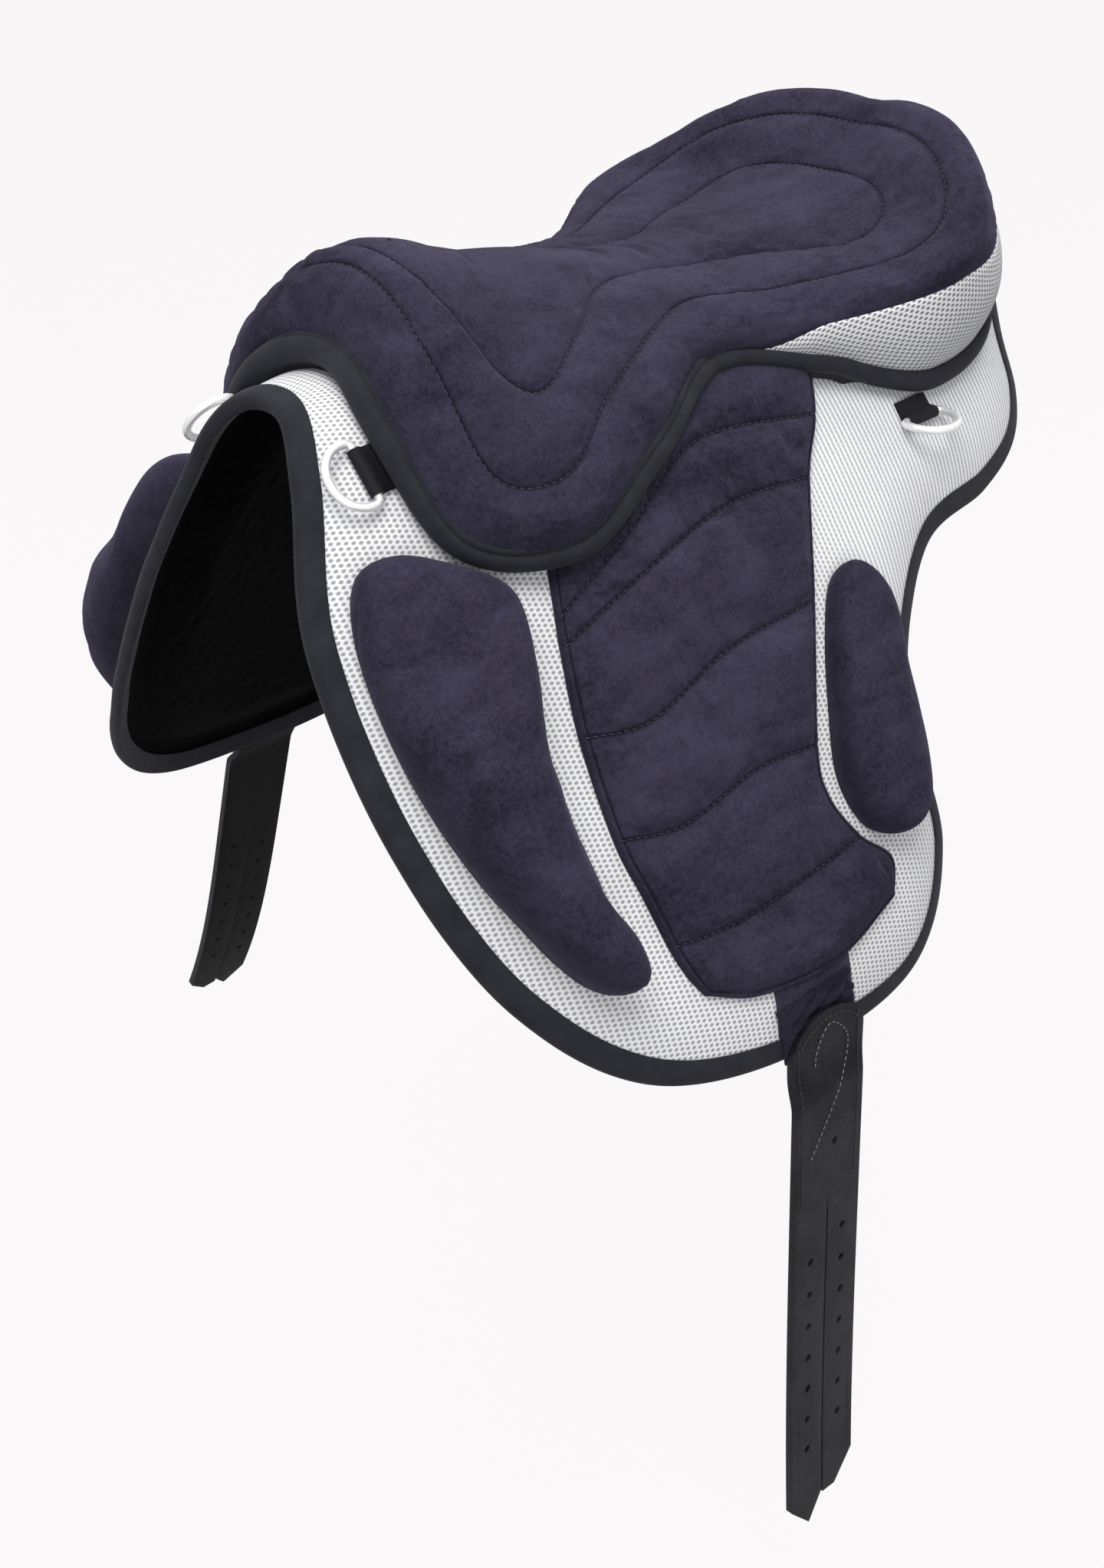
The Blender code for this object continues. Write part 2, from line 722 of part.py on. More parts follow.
def seat_point(guide_point):
    """A guide point's place: heights stand square to the base in front, and upright at the cantle."""
    back, down, height = np.array(guide_point) * (*PLAN, MM)
    on_base = face_point(back, down, 0)
    square = face_point(back, down, 1.0) - on_base
    upright = step_between(LEAN_START, LEAN_END, back)
    lean = square * (1 - upright) + np.array([0, 0, 1.0]) * upright
    return on_base + lean / np.linalg.norm(lean) * height


def guide_samples(guide):
    """A guide line's smooth points, with each span in its number of steps."""
    most = 12
    dense = smooth_points(guide, most, mirror=np.array([1, -1, 1][: len(guide[0])]))
    picked = [k * most + round(step * most / steps)
              for k, steps in enumerate(SEAT_STEPS) for step in range(steps)]
    return dense[picked + [len(dense) - 1]]


def seat_under(back, down):
    """Height of the seat's underside over the base: higher where it lies on the leg panel."""
    over = step_between(*SEAT_CLIMB_DOWN, abs(down))
    over *= step_between(*SEAT_CLIMB_FRONT, back) * (1 - step_between(*SEAT_CLIMB_REAR, back))
    return SEAT_LOW + (SEAT_OVER_PANEL - SEAT_LOW) * over


SEAT_WALL = 3
SEAM_COLUMNS = (2, 4)
SEAT_TAPE_SHARE = 0.08


class Seat:
    """Envelope of the padded seat, from the spine over the rim and down its wall."""

    def __init__(self):
        guides = (SEAT_SPINE, SEAT_INNER_SEAM, SEAT_OUTER_SEAM, SEAT_CREST, SEAT_COVER_EDGE)
        self.lines = [
            np.array([seat_point(point) for point in guide_samples(guide)]) for guide in guides
        ]
        self.band_top = np.array([seat_point(p) for p in guide_samples(SEAT_BINDING_TOP)])
        self.plan = guide_samples(SEAT_OUTLINE) * PLAN
        self.spine = guide_samples(SEAT_SPINE) * (*PLAN, MM)
        self.ribs = len(self.plan) - 1
        self.rows = [self.rib(i) for i in range(self.ribs + 1)]
        self.columns = len(self.rows[0]) - 1
        self.cover_end = self.columns - SEAT_WALL
        whole = self.sheet(self.columns)
        points = self.points(whole, lambda i, j: self.rows[i][j])
        self.normals = dict(zip(whole.corners, vertex_normals(points, whole.faces)))

    def rib(self, i):
        """Points of one rib: each guide, with one between them, then the wall down to the base."""
        known = [line[i] for line in self.lines]
        known = [known[1] * (-1, 1, 1)] + known + [2 * known[-1] - known[-2]]
        found = []
        for k in range(1, len(known) - 2):
            found.append(known[k])
            found.append(catmull(*known[k - 1 : k + 3], 0.5))
        edge = known[-2]
        found.append(edge)
        back, down = self.plan[i]
        foot = base_point(back, down, seat_under(back, down))
        band_top = self.band_top[i]
        share = np.linalg.norm(edge - band_top) / np.linalg.norm(edge - foot)
        close = 1 - step_between(SEAT_TAPE_SHARE, 3 * SEAT_TAPE_SHARE, share)
        under_edge = edge * (1 - SEAT_TAPE_SHARE) + foot * SEAT_TAPE_SHARE
        band_top = band_top * (1 - close) + under_edge * close
        return found + [band_top, band_top * 0.5 + foot * 0.5, foot]

    def key(self, i, j, side):
        """Corners on the spine belong to both sides."""
        return (i, j, 1 if j == 0 or i in (0, self.ribs) else side)

    def sheet(self, last, first=0, first_rib=0):
        """The ribs of both sides between two columns."""
        made = Sheet()
        for side in (1, -1):
            for i in range(first_rib, self.ribs):
                for j in range(first, last):
                    around = [(i, j), (i, j + 1), (i + 1, j + 1), (i + 1, j)]
                    keys = [self.key(*pair, side) for pair in around]
                    made.quad(keys, side, turned=i == self.ribs - 1)
        return made

    def points(self, sheet, place):
        """The sheet's corners; place(rib, column) is on the left side."""
        return [np.array(place(i, j)) * (side, 1, 1) for i, j, side in sheet.corners]

    def shifted(self, i, j, offset):
        """A point of the envelope moved along its normal."""
        return self.rows[i][j] + self.normals[(i, j, 1)] * offset

    def under(self, i, j):
        """The seat's underside, below a point of the envelope."""
        share = j / self.columns
        back = self.spine[i][0] + (self.plan[i][0] - self.spine[i][0]) * share
        down = self.plan[i][1] * share
        return base_point(back, down, seat_under(back, down))


def add_seat():
    seat = Seat()
    inner = -SEAT_COVER_THICKNESS - GAP * 2
    core = seat.sheet(seat.columns - 1)
    low = seat.points(core, seat.under)
    high = seat.points(core, lambda i, j: seat.shifted(i, j, inner))
    add_layer("seat_foam", low, high, core.faces, foam())
    cover = seat.sheet(seat.cover_end)
    flat = SEAM_COLUMNS + (seat.cover_end,)
    low = seat.points(cover, lambda i, j: seat.shifted(i, j, -SEAT_COVER_THICKNESS))
    high = seat.points(
        cover, lambda i, j: seat.shifted(i, j, 0.0 if j in flat else SEAT_QUILT_RELIEF)
    )
    add_layer("seat_suede_cover", low, high, cover.faces, suede())
    add_gusset(seat)
    add_seat_binding(seat)


def add_gusset(seat):
    """Mesh wall between the cover and the seat binding, round the back of the cantle."""
    wall = seat.sheet(seat.cover_end + 1, seat.cover_end, GUSSET_START)

    def place(i, j, offset):
        if j > seat.cover_end:
            return seat.shifted(i, j, offset)
        start, end = (seat.shifted(i, j + k, offset) for k in (0, 1))
        share = min(2 * GAP / np.linalg.norm(end - start), 0.5)
        return start + (end - start) * share

    low = seat.points(wall, lambda i, j: place(i, j, -SEAT_COVER_THICKNESS))
    high = seat.points(wall, lambda i, j: place(i, j, 0.0))
    add_layer("cantle_gusset", low, high, wall.faces, spacer_mesh())


def add_seat_binding(seat):
    """Rolled tape round the lower edge of the seat."""
    inner = GAP * 2
    bulge = SEAT_BINDING_BULGE
    profile = (
        (0.02, 0.0, inner), (1.0, 0.0, inner), (1.0, SEAT_BINDING_LIP, inner),
        (1.0, SEAT_BINDING_LIP, inner + bulge * 0.4), (0.85, 0.0, bulge),
        (0.35, 0.0, bulge), (0.04, 0.0, bulge * 0.7),
    )
    sections = []
    for i, side in both_sides(seat.ribs):
        foot = seat.rows[i][seat.columns]
        low, high = (seat.normals[(i, seat.columns - k, 1)] for k in (1, 2))
        edge, band_top = seat.rows[i][seat.cover_end], seat.rows[i][seat.cover_end + 1]
        wall, above = band_top - foot, edge - band_top
        above /= np.linalg.norm(above)
        section = []
        for share, lip, out in profile:
            normal = low * (1 - share) + high * share
            section.append((foot + wall * share + above * lip + normal * out) * (side, 1, 1))
        sections.append(section)
    add_ring_band("seat_binding", sections, binding_tape())


# Rings on webbing tabs

def ring_frame(place, heading, lift, side):
    """Bar centre, bar direction, ring direction, tab direction and face normal for a D-ring."""
    rearward, downward, outward = base_axes(*place)
    reach = {"front": -rearward, "rear": downward}[heading]
    height = GAP + TAB_WALL + hole_radius()
    centre = base_point(*place, height)
    tilt = math.radians(lift)
    swing = reach * math.cos(tilt) + outward * math.sin(tilt)
    bar = np.cross(outward, reach)
    flip = np.array([side, 1, 1])
    return centre * flip, bar * flip, swing * flip, reach * flip, outward * flip


def hole_radius():
    return RING_WIRE / 2 + GAP


def add_d_ring(name, frame):
    """Bent wire ring: a straight bar and a round bow."""
    centre, bar, swing = (Vector(v) for v in frame[:3])
    radius = RING_BAR / 2
    bend = RING_BEND
    path = []
    for angle in np.linspace(-90, 90, 13):
        turn = math.radians(angle)
        path.append((radius * math.sin(turn), RING_REACH - radius + radius * math.cos(turn)))
    path = [(-radius + bend, 0), (-radius, bend * 0.7)] + path[0:1] + path[1:-1] + path[-1:]
    path += [(radius, bend * 0.7), (radius - bend, 0)]
    curve = bpy.data.curves.new(name, "CURVE")
    curve.dimensions = "3D"
    curve.bevel_depth = RING_WIRE / 2
    curve.bevel_resolution = 2
    spline = curve.splines.new("POLY")
    spline.points.add(len(path) - 1)
    for point, (across, along) in zip(spline.points, path):
        point.co = (*(bar * across + swing * along), 1)
    spline.use_cyclic_u = True
    curve.materials.append(steel())
    made = bpy.data.objects.new(name, curve)
    made.location = centre
    bpy.context.scene.collection.objects.link(made)


def add_tab(name, frame):
    """Webbing folded round the ring's bar, with its tongue under the seat."""
    centre, bar, _, reach, outward = (Vector(v) for v in frame)
    hole, wall = hole_radius(), TAB_WALL
    outer = hole + wall
    low = -outer
    outline = [(-TAB_TONGUE, low), (0.0, low)]
    for angle in range(-60, 121, 30):
        turn = math.radians(angle)
        outline.append((outer * math.cos(turn), outer * math.sin(turn)))
    outline += [(-outer * 1.3, low + 2 * wall + 0.0006), (-TAB_TONGUE, low + 2 * wall)]
    inner = [
        (hole * math.cos(math.radians(a)), hole * math.sin(math.radians(a)))
        for a in range(0, 360, 36)
    ]
    made = bmesh.new()
    edges = []
    for loop in (outline, inner):
        verts = [
            made.verts.new(centre + reach * x + outward * z - bar * TAB_WIDTH / 2)
            for x, z in loop
        ]
        edges += [made.edges.new((a, b)) for a, b in zip(verts, verts[1:] + verts[:1])]
    bmesh.ops.triangle_fill(made, edges=edges, use_beauty=True, normal=bar)
    moved = bmesh.ops.extrude_face_region(made, geom=made.faces[:])
    moved = [v for v in moved["geom"] if isinstance(v, bmesh.types.BMVert)]
    bmesh.ops.translate(made, verts=moved, vec=bar * TAB_WIDTH)
    add_object(name, made, webbing(), smooth=False)


def add_rings():
    for side_name, side in SIDES.items():
        for heading, place, lift in (
            ("front", FRONT_RING, FRONT_RING_LIFT), ("rear", REAR_RING, REAR_RING_LIFT),
        ):
            frame = ring_frame(place, heading, lift, side)
            add_d_ring(f"d_ring_{heading}_{side_name}", frame)
            add_tab(f"d_ring_tab_{heading}_{side_name}", frame)


# Billets

def flap_edge_down():
    """How far down the flap its bottom edge lies, at the billet."""
    lowest = int(np.argmax(BASE_EDGE[:, 1]))
    near = BASE_EDGE[lowest - 3 : lowest + 4]
    return float(np.interp(BILLET_PLACE, near[:, 0], near[:, 1]))


HANGER_LOW = WEBBING_TOP + GAP
BILLET_LOW = HANGER_LOW + HANGER_THICKNESS + GAP * 2


def add_hanger(side_name, side):
    """Cloth strap that joins the girth webbing to the leather, over the edge binding."""
    edge = flap_edge_down()
    downs = edge + np.linspace(*HANGER_RUN, 7)
    line = [(BILLET_PLACE, side * down) for down in downs]
    line = line if side > 0 else line[::-1]
    high = HANGER_LOW + HANGER_THICKNESS
    name = f"billet_hanger_{side_name}"
    hanger = add_strip(name, line, HANGER_WIDTH, HANGER_LOW, high, suede())
    set_origin(hanger, billet_hinge(side))


def billet_hinge(side):
    """The sewn top of the hanger, where the hanger and the leather swing out together."""
    down = flap_edge_down() + HANGER_RUN[0]
    centre = base_point(BILLET_PLACE, down, HANGER_LOW + HANGER_THICKNESS / 2)
    return centre * (side, 1, 1)


def billet_pivot(side):
    """The sewn top of the leather and the direction down the flap there."""
    down = flap_edge_down() - BILLET_HEAD
    flip = np.array([side, 1, 1])
    centre = base_point(BILLET_PLACE, down, BILLET_LOW)
    return centre * flip, base_axes(BILLET_PLACE, down)[1] * flip


def billet_outline():
    """Outline of the leather as (across, along): a round head and two cut tails."""
    half = BILLET_WIDTH / 2
    slot = BILLET_SLOT / 2
    head = []
    for angle in range(180, -1, -20):
        turn = math.radians(angle)
        head.append((half * math.cos(turn), 0.018 * (1 - math.sin(turn))))
    runs = np.linspace(BILLET_HEAD, BILLET_LENGTH - 0.04, 10)
    rear_side = [(half, along) for along in runs]
    rear_tail = [(half, BILLET_LENGTH - 0.028), (half * 0.42, BILLET_LENGTH - 0.012)]
    rear_tail += [(slot, BILLET_LENGTH - 0.013)]
    slot_runs = [along for along in runs if along > BILLET_SPLIT + 0.01]
    split = [(slot, along) for along in reversed(slot_runs)] + [(0, BILLET_SPLIT)]
    split += [(-slot, along) for along in slot_runs]
    front_tail = [(-slot, BILLET_LENGTH - 0.015), (-half * 0.45, BILLET_LENGTH)]
    front_tail += [(-half, BILLET_LENGTH - 0.016)]
    front_side = [(-half, along) for along in reversed(runs)]
    return head + rear_side + rear_tail + split + front_tail + front_side


def billet_holes():
    """Centres of the buckle holes: one above the split, then a row down each tail."""
    quarter = BILLET_WIDTH / 4
    holes = [(0.004, BILLET_SPLIT - 0.030)]
    for k in range(BILLET_HOLES):
        along = BILLET_FIRST_HOLE + k * BILLET_HOLE_PITCH
        holes.append((quarter, along))
        holes.append((-quarter, along + 0.009))
    return holes


def billet_bend(side_name, side):
    """Function that lays (across, along, out) of the flat leather on its hanging curve."""
    centre, downward = billet_pivot(side)
    steps = np.linspace(0, BILLET_LENGTH, 60)
    start = math.atan2(downward[0] * side, -downward[2])
    hang = math.radians(BILLET_HANG[side_name])
    curl = math.radians(BILLET_CURL[side_name])
    drift = math.tan(math.radians(BILLET_DRIFT[side_name]))
    clear = BILLET_HEAD + HANGER_RUN[1]
    angles = []
    for along in steps:
        left_flap = step_between(clear, clear + BILLET_BEND, along)
        tail = max(along - BILLET_SPLIT, 0) / (BILLET_LENGTH - BILLET_SPLIT)
        angles.append(start + (hang - start) * left_flap + curl * tail**2)
    middles = (np.array(angles[1:]) + np.array(angles[:-1])) / 2
    xs = np.concatenate([[0], np.cumsum(np.sin(middles) * steps[1])])
    zs = np.concatenate([[0], np.cumsum(-np.cos(middles) * steps[1])])
    edge = flap_edge_down()

    def lay(across, along, out):
        angle = np.interp(along, steps, angles)
        x = np.interp(along, steps, xs) + math.cos(angle) * out
        z = np.interp(along, steps, zs) + math.sin(angle) * out
        hanging = centre + np.array([side * x, side * across + drift * along, z])
        left_flap = step_between(clear, clear + BILLET_BEND, along)
        down = edge - BILLET_HEAD + along
        on_flap = base_point(BILLET_PLACE + side * across, down, BILLET_LOW + out)
        return hanging * left_flap + on_flap * (side, 1, 1) * (1 - left_flap)

    return lay


def add_billet(side_name, side):
    """Leather billet, cut flat with its holes and split, then laid on its hanging curve."""
    lay = billet_bend(side_name, side)
    loops = [billet_outline()]
    for across, along in billet_holes():
        loops.append([
            (across + BILLET_HOLE * math.cos(turn), along + BILLET_HOLE * math.sin(turn))
            for turn in np.linspace(0, 2 * math.pi, 7)[:-1]
        ])
    made = bmesh.new()
    edges = []
    for loop in loops:
        verts = [made.verts.new((across, along, 0)) for across, along in loop]
        edges += [made.edges.new((a, b)) for a, b in zip(verts, verts[1:] + verts[:1])]
    bmesh.ops.triangle_fill(made, edges=edges, use_beauty=True, normal=(0, 0, 1))
    bent = BILLET_HEAD + BILLET_BEND + BILLET_SLICE
    cuts = [((0, along, 0), (0, 1, 0)) for along in np.arange(BILLET_SLICE, bent, BILLET_SLICE)]
    for place, normal in cuts + [((0, 0, 0), (1, 0, 0))]:
        bmesh.ops.bisect_plane(
            made, geom=made.verts[:] + made.edges[:] + made.faces[:], dist=1e-6,
            plane_co=place, plane_no=normal,
        )
    moved = bmesh.ops.extrude_face_region(made, geom=made.faces[:])
    moved = [v for v in moved["geom"] if isinstance(v, bmesh.types.BMVert)]
    bmesh.ops.translate(made, verts=moved, vec=(0, 0, BILLET_THICKNESS))
    for vert in made.verts:
        vert.co = lay(*vert.co)
    billet = add_object(f"billet_{side_name}", made, leather(), smooth=False)
    set_origin(billet, billet_hinge(side))


def main():
    for old in list(bpy.data.objects):
        bpy.data.objects.remove(old)
    add_base_layers()
    add_base_binding()
    add_over_straps()
    for side_name, side in SIDES.items():
        add_quilted_panel(side_name, side)
        add_block(f"knee_block_{side_name}", KNEE_OUTLINE, KNEE_HEIGHT, KNEE_TOP_HEIGHT, side)
        add_block(f"thigh_block_{side_name}", THIGH_OUTLINE, THIGH_HEIGHT, THIGH_TOP_HEIGHT, side)
        add_hanger(side_name, side)
        add_billet(side_name, side)
    add_seat()
    add_rings()


if __name__ == "__main__":
    main()
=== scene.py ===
"""Endurance saddle dressed for a studio picture.

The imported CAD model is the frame. Each cloth, padded or leather piece is made again over its solid
with more shape, sewn detail and a finish of its own. Everything is in metres: +X is the horse's
left, -Y its head and +Z is up.
"""

import logging
import math
from collections.abc import Callable, Iterable, Sequence
from dataclasses import dataclass, field
from enum import Enum

import bmesh
import bpy
import numpy as np
from mathutils import Matrix, Vector


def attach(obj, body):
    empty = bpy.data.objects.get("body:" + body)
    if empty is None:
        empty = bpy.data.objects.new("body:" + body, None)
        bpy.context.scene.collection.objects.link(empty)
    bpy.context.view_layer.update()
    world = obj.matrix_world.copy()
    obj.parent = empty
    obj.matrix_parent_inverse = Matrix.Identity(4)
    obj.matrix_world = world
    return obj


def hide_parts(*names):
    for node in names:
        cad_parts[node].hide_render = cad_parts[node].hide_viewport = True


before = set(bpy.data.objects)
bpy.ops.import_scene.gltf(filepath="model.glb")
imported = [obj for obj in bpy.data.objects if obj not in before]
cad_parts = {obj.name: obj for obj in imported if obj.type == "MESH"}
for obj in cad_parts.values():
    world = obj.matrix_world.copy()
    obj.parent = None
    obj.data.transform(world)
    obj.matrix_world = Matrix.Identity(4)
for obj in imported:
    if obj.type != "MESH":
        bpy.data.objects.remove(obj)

LOG = logging.getLogger("saddle")
MM = 0.001
JOINED = 2e-6
OVER_SPINE = np.array((-1, 1, 1))
ON_AXES = (1.0, 1.0, 1.0)
Array = np.ndarray
Pair = tuple[float, float]
Triple = tuple[float, float, float]
Mesh = bmesh.types.BMesh
Place = Callable[[Array, Array], Array]
Material = bpy.types.Material


class Side(Enum):
    """The two sides of the saddle, with the sign of their x."""

    LEFT = 1
    RIGHT = -1

    @property
    def label(self) -> str:
        """The word used in the names of pieces and nodes."""
        return self.name.lower()


# Curves


def catmull(known: Sequence[Array], t: float) -> Array:
    """Point at a share t of the curve between the second and third of four points."""
    before, start, end, after = known
    return 0.5 * (
        2 * start
        + (end - before) * t
        + (2 * before - 5 * start + 4 * end - after) * t**2
        + (3 * start - before - 3 * end + after) * t**3
    )


def crowded(shares: Array, crowding: float) -> Array:
    """Shares from 0 to 1 drawn towards both ends, as far as the crowding from 0 to 1 says."""
    return shares - crowding * np.sin(2 * math.pi * shares) / (2 * math.pi)


def smooth_points(
    points: Sequence[Sequence[float]],
    per_span: int,
    closed: bool = False,
    mirror: Sequence[float] | None = None,
    crowding: float = 0.0,
) -> Array:
    """Points along a smooth curve.

    Args:
        points: The points that the curve passes through.
        per_span: Steps from one of them to the next.
        closed: Whether the curve runs back to its start.
        mirror: Reflection that continues the curve past both of its ends.
        crowding: How far the steps draw towards the points, from 0 to 1.

    Returns:
        The curve's points, one a row.
    """
    shares = crowded(np.arange(per_span) / per_span, crowding)
    known = [np.array(point, float) for point in points]
    if closed:
        known = [known[-1]] + known + known[:2]
    elif mirror is not None:
        known = [known[1] * mirror] + known + [known[-2] * mirror]
    else:
        known = [2 * known[0] - known[1]] + known + [2 * known[-1] - known[-2]]
    spans = [known[k : k + 4] for k in range(len(known) - 3)]
    found = [catmull(span, share) for span in spans for share in shares]
    if not closed:
        found.append(known[-2])
    return np.array(found)


def unit(vectors: Array) -> Array:
    """The vectors with a length of 1."""
    return vectors / np.linalg.norm(vectors, axis=-1, keepdims=True)


def run_along(points: Array, axis: int = 0) -> Array:
    """Distances along lines of points, which follow each other along one axis, from 0."""
    steps = np.linalg.norm(np.diff(points, axis=axis), axis=-1)
    first = np.zeros_like(np.take(steps, [0], axis=axis))
    return np.concatenate([first, np.cumsum(steps, axis=axis)], axis=axis)


def along_curve(curve: Array, share: Array) -> Array:
    """Points at shares of a curve's length, one for each share."""
    length = run_along(curve)
    return np.stack([np.interp(share * length[-1], length, c) for c in curve.T], axis=-1)


def ease(low: float, high: float, value: Array) -> Array:
    """Smooth change of values from 0 at low and below to 1 at high and above."""
    t = np.clip((np.asarray(value, float) - low) / (high - low), 0.0, 1.0)
    return t * t * (3 - 2 * t)


def fade(distance: Array, run: float) -> Array:
    """Falls from 1 at no distance to about a third at each run from there."""
    return np.exp(-distance / run)


def bump(distance: Array, run: float) -> Array:
    """A smooth bump: 1 at no distance and about a third at one run from it."""
    return np.exp(-((distance / run) ** 2))


def ripple(places: Array, pitch: float, seed: int = 0) -> Array:
    """Soft irregular waves, the same on each run.

    Args:
        places: Points of any dimension, one a row.
        pitch: Rough distance from one wave to the next.
        seed: Number that picks another set of waves.

    Returns:
        A value from about -1 to 1 for each point.
    """
    chance = np.random.default_rng(seed)
    total = np.zeros(len(places))
    for _ in range(7):
        heading = chance.normal(size=places.shape[1])
        heading *= 2 * math.pi / pitch * chance.uniform(0.5, 1.3) / np.linalg.norm(heading)
        total += np.sin(places @ heading + chance.uniform(0, 2 * math.pi))
    return total / 4


# Meshes


def bent_grid(
    columns: int, rows: int, place: Place, flat: Place | None = None,
    marks: dict[str, Place] | None = None,
) -> Mesh:
    """A grid of the unit square, bent to shape and closed where its edges meet.

    Args:
        columns: Faces along the first share.
        rows: Faces along the second share.
        place: Gives the points for arrays of the two shares.
        flat: Gives the unrolled place of each point in metres, for the cloth's own UV map.
        marks: Values of each point by name, such as how much painted shade it gets by seams and
            folds.

    Returns:
        The mesh.
    """
    made = bmesh.new()
    bmesh.ops.create_grid(made, x_segments=columns, y_segments=rows, size=0.5)
    layers = {name: made.verts.layers.float.new(name) for name in marks or {}}
    made.verts.index_update()
    shares = np.array([vert.co[:2] for vert in made.verts]) + 0.5
    points = place(shares[:, 0], shares[:, 1])
    layer = made.loops.layers.uv.new("cloth")
    flats = flat(shares[:, 0], shares[:, 1]) if flat else shares
    for face in made.faces:
        for loop in face.loops:
            loop[layer].uv = flats[loop.vert.index]
    for name, kept in layers.items():
        for vert, value in zip(made.verts, marks[name](shares[:, 0], shares[:, 1])):
            vert[kept] = float(value)
    for vert, point in zip(made.verts, points):
        vert.co = point
    bmesh.ops.remove_doubles(made, verts=made.verts, dist=JOINED)
    return made


def grid_of(points: Array, flat: Array, marks: dict[str, Array] | None = None) -> Mesh:
    """A mesh through rows and columns of points, with their unrolled places and their marks."""
    rows, columns = points.shape[0] - 1, points.shape[1] - 1

    def pick(values: Array) -> Place:
        return lambda u, v: values[np.rint(v * rows).astype(int), np.rint(u * columns).astype(int)]

    picked = {name: pick(values) for name, values in (marks or {}).items()}
    return bent_grid(columns, rows, pick(points), pick(flat), picked)


@dataclass(frozen=True)
class Slack:
    """Cloth that is longer than its place, so it swells and puckers between its seams."""

    extra: float = 0.03
    pressure: float = 4.0
    cap: float = 0.0025
    frames: int = 20

    def relax(self, made: Mesh) -> None:
        """Moves the points of a cloth to where it settles, where "held" is under 1."""
        scene = bpy.context.scene
        mesh = bpy.data.meshes.new("settling")
        made.to_mesh(mesh)
        cloth = bpy.data.objects.new("settling", mesh)
        scene.collection.objects.link(cloth)
        group = cloth.vertex_groups.new(name="held")
        layer = made.verts.layers.float["held"]
        for k, vert in enumerate(made.verts):
            group.add([k], vert[layer], "REPLACE")
        settling = cloth.modifiers.new("settling", "CLOTH")
        settings = settling.settings
        settings.vertex_group_mass = "held"
        settings.shrink_min = -self.extra
        settings.use_pressure = True
        settings.uniform_pressure_force = self.pressure
        settings.effector_weights.gravity = 0
        settling.point_cache.frame_end = self.frames
        for number in range(1, self.frames + 1):
            scene.frame_set(number)
        shaped = cloth.evaluated_get(bpy.context.evaluated_depsgraph_get()).data
        start = np.array([vert.co[:] for vert in made.verts])
        away = np.array([vert.co[:] for vert in shaped.vertices]) - start
        far = np.linalg.norm(away, axis=1, keepdims=True)
        LOG.info("cloth settled: %.1f mm on average, %.1f at most", far.mean() / MM, far.max() / MM)
        away *= np.minimum(1, self.cap / np.maximum(far, 1e-9))
        for vert, point in zip(made.verts, start + away):
            vert.co = point
        bpy.data.objects.remove(cloth)
        bpy.data.meshes.remove(mesh)
        scene.frame_set(1)


def together(parts: Iterable[Mesh]) -> Mesh:
    """Several meshes, which are freed, as one."""
    whole = bmesh.new()
    for part in parts:
        mesh = bpy.data.meshes.new("part")
        part.to_mesh(mesh)
        part.free()
        whole.from_mesh(mesh)
        bpy.data.meshes.remove(mesh)
    return whole


def both_halves(half: Callable[[Side], Mesh]) -> Mesh:
    """The halves that half makes for each side, as one mesh joined where they meet."""
    whole = together(half(side) for side in Side)
    bmesh.ops.remove_doubles(whole, verts=whole.verts, dist=JOINED)
    return whole


def face_out(made: Mesh, towards: Sequence[float]) -> None:
    """Turns an open sheet so that on the whole it faces a direction."""
    bmesh.ops.recalc_face_normals(made, faces=made.faces)
    total = sum((face.normal * face.calc_area() for face in made.faces), Vector())
    if total.dot(Vector(towards)) < 0:
        bmesh.ops.reverse_faces(made, faces=made.faces)


@dataclass
class Dressing:
    """What a finished mesh needs to become a piece of the saddle."""

    name: str
    finish: Material
    slot: str
    body: str = "saddle"
    replaces: tuple[str, ...] = ()
    thickness: float = 0.0
    padding: float | None = None
    cut: Pair | None = None
    crease_angle: float = 60.0

    def piece(self, made: Mesh) -> bpy.types.Object:
        """Turns a mesh, which is freed, into a piece that rides on its body."""
        mesh = bpy.data.meshes.new(self.name)
        made.to_mesh(mesh)
        made.free()
        return self.dress(mesh)

    def dress(self, mesh: bpy.types.Mesh) -> bpy.types.Object:
        """Adds a mesh to the scene as a piece, with its finish, wall and body."""
        mesh.name = self.name
        mesh.materials.append(self.finish)
        mesh.shade_smooth()
        mesh.set_sharp_from_angle(angle=math.radians(self.crease_angle))
        made = bpy.data.objects.new(self.name, mesh)
        bpy.context.scene.collection.objects.link(made)
        if self.thickness:
            wall = made.modifiers.new("wall", "SOLIDIFY")
            wall.thickness = self.thickness
            wall.offset = -1
        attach(made, self.body)
        if self.replaces:
            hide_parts(*self.replaces)
        LOG.info("%s: %d faces", self.name, len(mesh.polygons))
        return made


def node_copy(node: str) -> Mesh:
    """A merged copy of a CAD node's mesh."""
    made = bmesh.new()
    made.from_mesh(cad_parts[node].data)
    bmesh.ops.remove_doubles(made, verts=made.verts, dist=1e-6)
    return made


